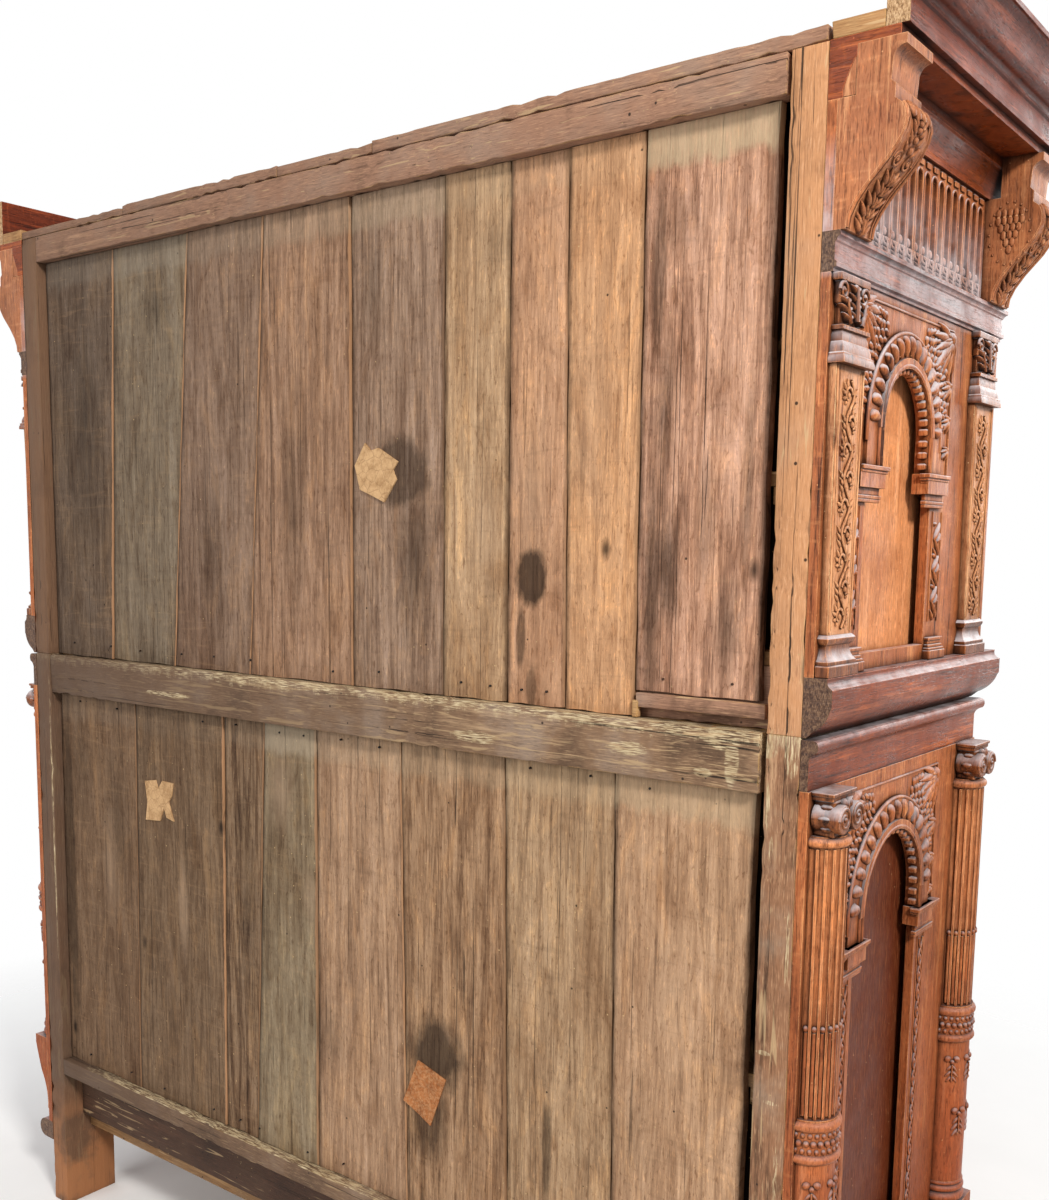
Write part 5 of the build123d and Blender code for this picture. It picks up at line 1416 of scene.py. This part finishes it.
@carved
def bracket_leaf():
    """Broad leaf down the ogee face of a pedestal."""
    path = ((0.0575, 0.362), (0.054, 0.345), (0.049, 0.330), (0.043, 0.312), (0.036, 0.298), (0.029, 0.284),
            (0.023, 0.268), (0.019, 0.246), (0.0175, 0.226))
    yield cord([(0, -out, z) for out, z in path], 0.0034)
    for n, (out, z) in enumerate(path):
        wide = 0.036 * sin(pi * (n + 1.2) / (len(path) + 1.6))
        for s in (-1, 1):
            yield ball((s * wide * 0.55, -out + 0.001, z), (wide * 0.5, 0.0045, 0.0085), turn=(0, s * 0.6, 0))


class CUPBOARD_OT_columns(bpy.types.Operator):
    """Beads, drops, roll capitals and pedestal leaves of the engaged columns"""

    bl_idname = "cupboard.columns"
    bl_label = "Carve the columns"

    def execute(self, context):
        paint = finishes()
        places = stations((-POST_X, 0, POST_X), (0.046, 0.612))
        repeated(column_carving(), places, "column_carving", paint["carved"])
        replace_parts(repeated(column_capital(), places, "column_capitals", paint["grimy"]), "lower_capitals")
        repeated(bracket_leaf(), places, "pedestal_leaves", paint["carved"])
        return {"FINISHED"}


# The S face of a console: how far it stands out, and its height
CONSOLE_FACE = ((0.031, 1.932), (0.033, 1.945), (0.041, 1.962), (0.056, 1.982), (0.071, 1.998),
                (0.083, 2.011), (0.093, 2.026), (0.101, 2.042), (0.1035, 2.052), (0.1015, 2.062),
                (0.097, 2.069))


def on_console(piece, t):
    """Lay a piece on the S face at a share of the way up, leaning as the face does there."""
    spot = t * (len(CONSOLE_FACE) - 1)
    n = min(int(spot), len(CONSOLE_FACE) - 2)
    a, b = (Vector((0, -out, z)) for out, z in CONSOLE_FACE[n:n + 2])
    lean = atan2(-(b.y - a.y), b.z - a.z)
    piece.data.transform(at(a.lerp(b, spot - n)) @ tilted(lean, "X"))
    return piece


@carved
def console_carving():
    """Border lines, beads, scroll and leaf on the S face of one console, in local axes."""
    for s in (-1, 1):
        yield cord([(s * 0.0395, -out, z) for out, z in CONSOLE_FACE], 0.0030, 2)
        yield cord([(s * 0.0320, -out - 0.0004, z) for out, z in CONSOLE_FACE], 0.0016)
    # acanthus below, a pair of scrolls half way, beads in a husk above, and lobes turned over the top
    for n in range(6):
        t = 0.03 + n * 0.066
        wide = 0.029 * sin(pi * (0.32 + 0.5 * n / 6))
        for s in (-1, 1):
            yield on_console(petal((s * 0.002, -0.006), (s * wide, 0.012), 0.0105, 0.0070), t)
            yield on_console(petal((s * 0.001, -0.004), (s * wide * 0.5, 0.016), 0.0070, 0.0075), t)
        yield on_console(petal((0, -0.008), (0, 0.012), 0.0065, 0.0085), t)
    for s in (-1, 1):
        scroll = on_console(volute(0.0105, 1.5, 0.0024, s), 0.50)
        scroll.data.transform(at((s * 0.0155, 0, 0)))
        yield scroll
    for n in range(5):
        t = 0.58 + n * 0.072
        size = 0.0054 - 0.0004 * n
        yield on_console(ball((0, -0.001, 0), (size, 0.0056, size), 10, 6), t)
        for s in (-1, 1):
            yield on_console(petal((s * 0.008, -0.007), (s * (0.022 - 0.001 * n), 0.010), 0.0085, 0.0058), t)
    for x in (-0.025, -0.0085, 0.0085, 0.025):
        yield on_console(ball((x, -0.001, 0), (0.0088, 0.0056, 0.012), 10, 6), 0.93)


@carved
def console_flank():
    """Scale shield ringed with dots on the flank of a console (x is the outer flank)."""
    x, middle = 0.0428, -0.054
    for row in range(7):
        count = 6 - row if row else 5
        for k in range(count):
            y = middle - 0.0092 * (k - (count - 1) / 2)
            yield ball((x, y, 2.063 - row * 0.0112), (0.0024, 0.0050, 0.0074))
    for n in range(18):
        angle = pi * 2 * n / 18
        yield ball((x, middle + 0.032 * cos(angle), 2.032 + 0.048 * sin(angle)), (0.0016, 0.0021, 0.0021),
                   6, 4)


class CUPBOARD_OT_consoles(bpy.types.Operator):
    """Scrolled consoles under the cornice"""

    bl_idname = "cupboard.consoles"
    bl_label = "Carve the consoles"

    def execute(self, context):
        paint = finishes()["consoles"]
        half = 0.0425
        front, rear = 0.654 - half, half
        repeated(console_carving(), stations((-CASE_X + half, 0, CASE_X - half), (rear, front)),
                 "console_carving", paint)
        flip = Matrix.Scale(-1, 4, (1, 0, 0))
        spots = [side_place(-1, front) @ flip, side_place(1, front), front_place(-CASE_X + half),
                 front_place(0), front_place(0) @ flip, front_place(CASE_X - half) @ flip]
        repeated(console_flank(), spots, "console_flanks", paint)
        # cheeks that close the end of the bed moulding behind the consoles
        cheeks = [block((x, 0.330, 2.0885), (x + 0.0225, REAR_Y - 0.0004, 2.1475), 0.0008)
                  for x in (-0.955, 0.9325)]
        dress(joined(cheeks, "console_cheeks"), paint)
        return {"FINISHED"}


@carved
def frieze_flute():
    """Round head, cup and leaf of one flute, in local axes."""
    half, foot = 0.0115, 1.942
    yield cord([(half, -FACING, foot), *arc((0, -FACING, 2.060), half, 12), (-half, -FACING, foot)], 0.0017)
    yield cord(arc((0, -FACING - 0.0005, 1.954), 0.0105, 10, -pi), 0.0026)
    yield put(leaf(0.020, 0.019, 0.006, 3), (0, -FACING + 0.001, 1.933))
    yield slab(0.009, FACING + 0.003, 2.076, 2.084, 0.001)
    yield ball((0, -FACING + 0.0035, 1.962), (0.0062, 0.0055, 0.0075), 8, 6)


class CUPBOARD_OT_frieze(bpy.types.Operator):
    """Arched heads and leaf feet of the frieze flutes"""

    bl_idname = "cupboard.frieze"
    bl_label = "Carve the frieze"

    def execute(self, context):
        def row(middle, count):
            return [middle + (n - (count - 1) / 2) * 0.029 for n in range(count)]

        places = []
        for s in (-1, 1):
            places += [side_place(s, back) for back in row(0.327, 16)]
            places += [front_place(x) for x in row(s * 0.433, 25)]
        repeated(frieze_flute(), places, "frieze_carving", finishes()["carved"])
        return {"FINISHED"}


# Lamps: place, size, power and tint
LAMPS = {
    "key": ((-4.6, 2.6, 4.2), 0.9, 330, (1.0, 0.97, 0.92)),
    "fill": ((1.5, 5.5, 2.8), 3.0, 130, (1, 1, 1)),
    "front": ((-1.5, -5.0, 3.0), 3.0, 100, (1, 1, 1)),
    "side": ((5.0, -0.5, 3.0), 3.0, 30, (1, 1, 1)),
}
LIT_POINT = Vector((0, 0, 1.2))
STUDIO_LIGHT = 0.46
CAMERA_PLACE = (-1.6418, 1.9497, 1.5296)
YAW, PITCH, ROLL = 0.6565, 0.1268, 0.0135


class CUPBOARD_OT_stage(bpy.types.Operator):
    """Floor, lamps, world and camera"""

    bl_idname = "cupboard.stage"
    bl_label = "Set the stage"

    def floor(self):
        deselect()
        bpy.ops.mesh.primitive_plane_add(size=40, location=(0, 0, 0))
        floor = bpy.context.object
        floor.name = "floor"
        f = Finish("pale_floor")
        marks = f.fade(f.noise(3, 3), 0.3, 0.7, 0.0, 1.0)
        f.feed(f.shader.inputs["Base Color"], f.mix(marks, (0.86, 0.86, 0.86, 1), (0.9, 0.9, 0.9, 1)))
        f.shader.inputs["Roughness"].default_value = 0.9
        # the floor thins out to nothing away from the piece
        x, y, _ = f.split()
        thin = f.add("ShaderNodeMixShader")
        clear = f.add("ShaderNodeBsdfTransparent").outputs[0]
        for n, value in enumerate((f.fade(f.reach(x, y), 1.3, 2.6), f.shader.outputs[0], clear)):
            f.feed(thin.inputs[n], value)
        f.feed(f.tree.nodes["Material Output"].inputs["Surface"], thin.outputs[0])
        floor.data.materials.append(f.material)

    def world(self, scene):
        """Soft light all round, and plain white where it is looked at."""
        world = bpy.data.worlds.new("studio")
        scene.world = world
        world.use_nodes = True
        nodes, link = world.node_tree.nodes, world.node_tree.links.new
        rays = nodes.new("ShaderNodeLightPath").outputs
        seen = rays["Is Camera Ray"]
        for ray in ("Is Glossy Ray", "Is Transmission Ray"):
            either = nodes.new("ShaderNodeMath")
            either.operation = "MAXIMUM"
            link(seen, either.inputs[0])
            link(rays[ray], either.inputs[1])
            seen = either.outputs[0]
        soft, white = nodes["Background"], nodes.new("ShaderNodeBackground")
        choose = nodes.new("ShaderNodeMixShader")
        link(seen, choose.inputs[0])
        for n, (light, strength) in enumerate(((soft, STUDIO_LIGHT), (white, 1.0))):
            light.inputs["Color"].default_value = (1, 1, 1, 1)
            light.inputs["Strength"].default_value = strength
            link(light.outputs[0], choose.inputs[n + 1])
        link(choose.outputs[0], nodes["World Output"].inputs["Surface"])

    def camera(self, scene):
        camera = bpy.data.cameras.new("camera")
        camera.sensor_width = 36.0
        camera.lens = 37.84
        camera.shift_y = 0.0886
        camera.clip_start = 0.05
        item = added("camera", camera)
        forward = Vector((sin(YAW) * cos(PITCH), -cos(YAW) * cos(PITCH), -sin(PITCH)))
        flat = Vector((-cos(YAW), -sin(YAW), 0))
        right = cos(ROLL) * flat + sin(ROLL) * flat.cross(forward)
        turn = Matrix((right, right.cross(forward), -forward)).transposed().to_4x4()
        item.matrix_world = at(CAMERA_PLACE) @ turn
        scene.camera = item

    def execute(self, context):
        self.floor()
        self.world(context.scene)
        for name, (place, size, power, tint) in LAMPS.items():
            lamp = bpy.data.lights.new(name, "AREA")
            lamp.shape = "SQUARE"
            lamp.size = size
            lamp.energy = power
            lamp.color = tint
            item = added(name, lamp)
            item.location = place
            item.rotation_euler = (LIT_POINT - Vector(place)).to_track_quat("-Z", "Y").to_euler()
        self.camera(context.scene)
        context.scene.view_settings.view_transform = "Standard"
        return {"FINISHED"}


class CUPBOARD_PT_panel(bpy.types.Panel):
    """Sizes, colours and steps of the cupboard"""

    bl_label = "Court cupboard"
    bl_idname = "CUPBOARD_PT_panel"
    bl_space_type = "VIEW_3D"
    bl_region_type = "UI"
    bl_category = "Cupboard"

    def draw(self, context):
        for group in GROUPS:
            settings = getattr(context.scene, group)
            for name in settings.bl_rna.properties.keys():
                if name not in ("rna_type", "name"):
                    self.layout.prop(settings, name)
        for operator in OPERATORS:
            self.layout.operator(operator.bl_idname)


GROUPS = {"cupboard_boards": BoardSettings, "cupboard_oak": OakSettings, "cupboard_carving": CarvingSettings}
OPERATORS = (
    CUPBOARD_OT_stage, CUPBOARD_OT_case, CUPBOARD_OT_timbers, CUPBOARD_OT_back_boards, CUPBOARD_OT_scraps,
    CUPBOARD_OT_pilasters, CUPBOARD_OT_arches, CUPBOARD_OT_columns, CUPBOARD_OT_consoles, CUPBOARD_OT_frieze,
)
CLASSES = (*OPERATORS, CUPBOARD_PT_panel)


def register():
    for name, group in GROUPS.items():
        bpy.utils.register_class(group)
        setattr(bpy.types.Scene, name, PointerProperty(type=group))
    for kind in CLASSES:
        bpy.utils.register_class(kind)


def unregister():
    for kind in reversed(CLASSES):
        bpy.utils.unregister_class(kind)
    for name, group in GROUPS.items():
        delattr(bpy.types.Scene, name)
        bpy.utils.unregister_class(group)


def main():
    register()
    bpy.ops.cupboard.stage()
    bpy.ops.cupboard.case()
    bpy.ops.cupboard.timbers()
    bpy.ops.cupboard.back_boards()
    bpy.ops.cupboard.scraps()
    bpy.ops.cupboard.pilasters()
    bpy.ops.cupboard.arches()
    bpy.ops.cupboard.columns()
    bpy.ops.cupboard.consoles()
    bpy.ops.cupboard.frieze()


if __name__ == "__main__":
    main()
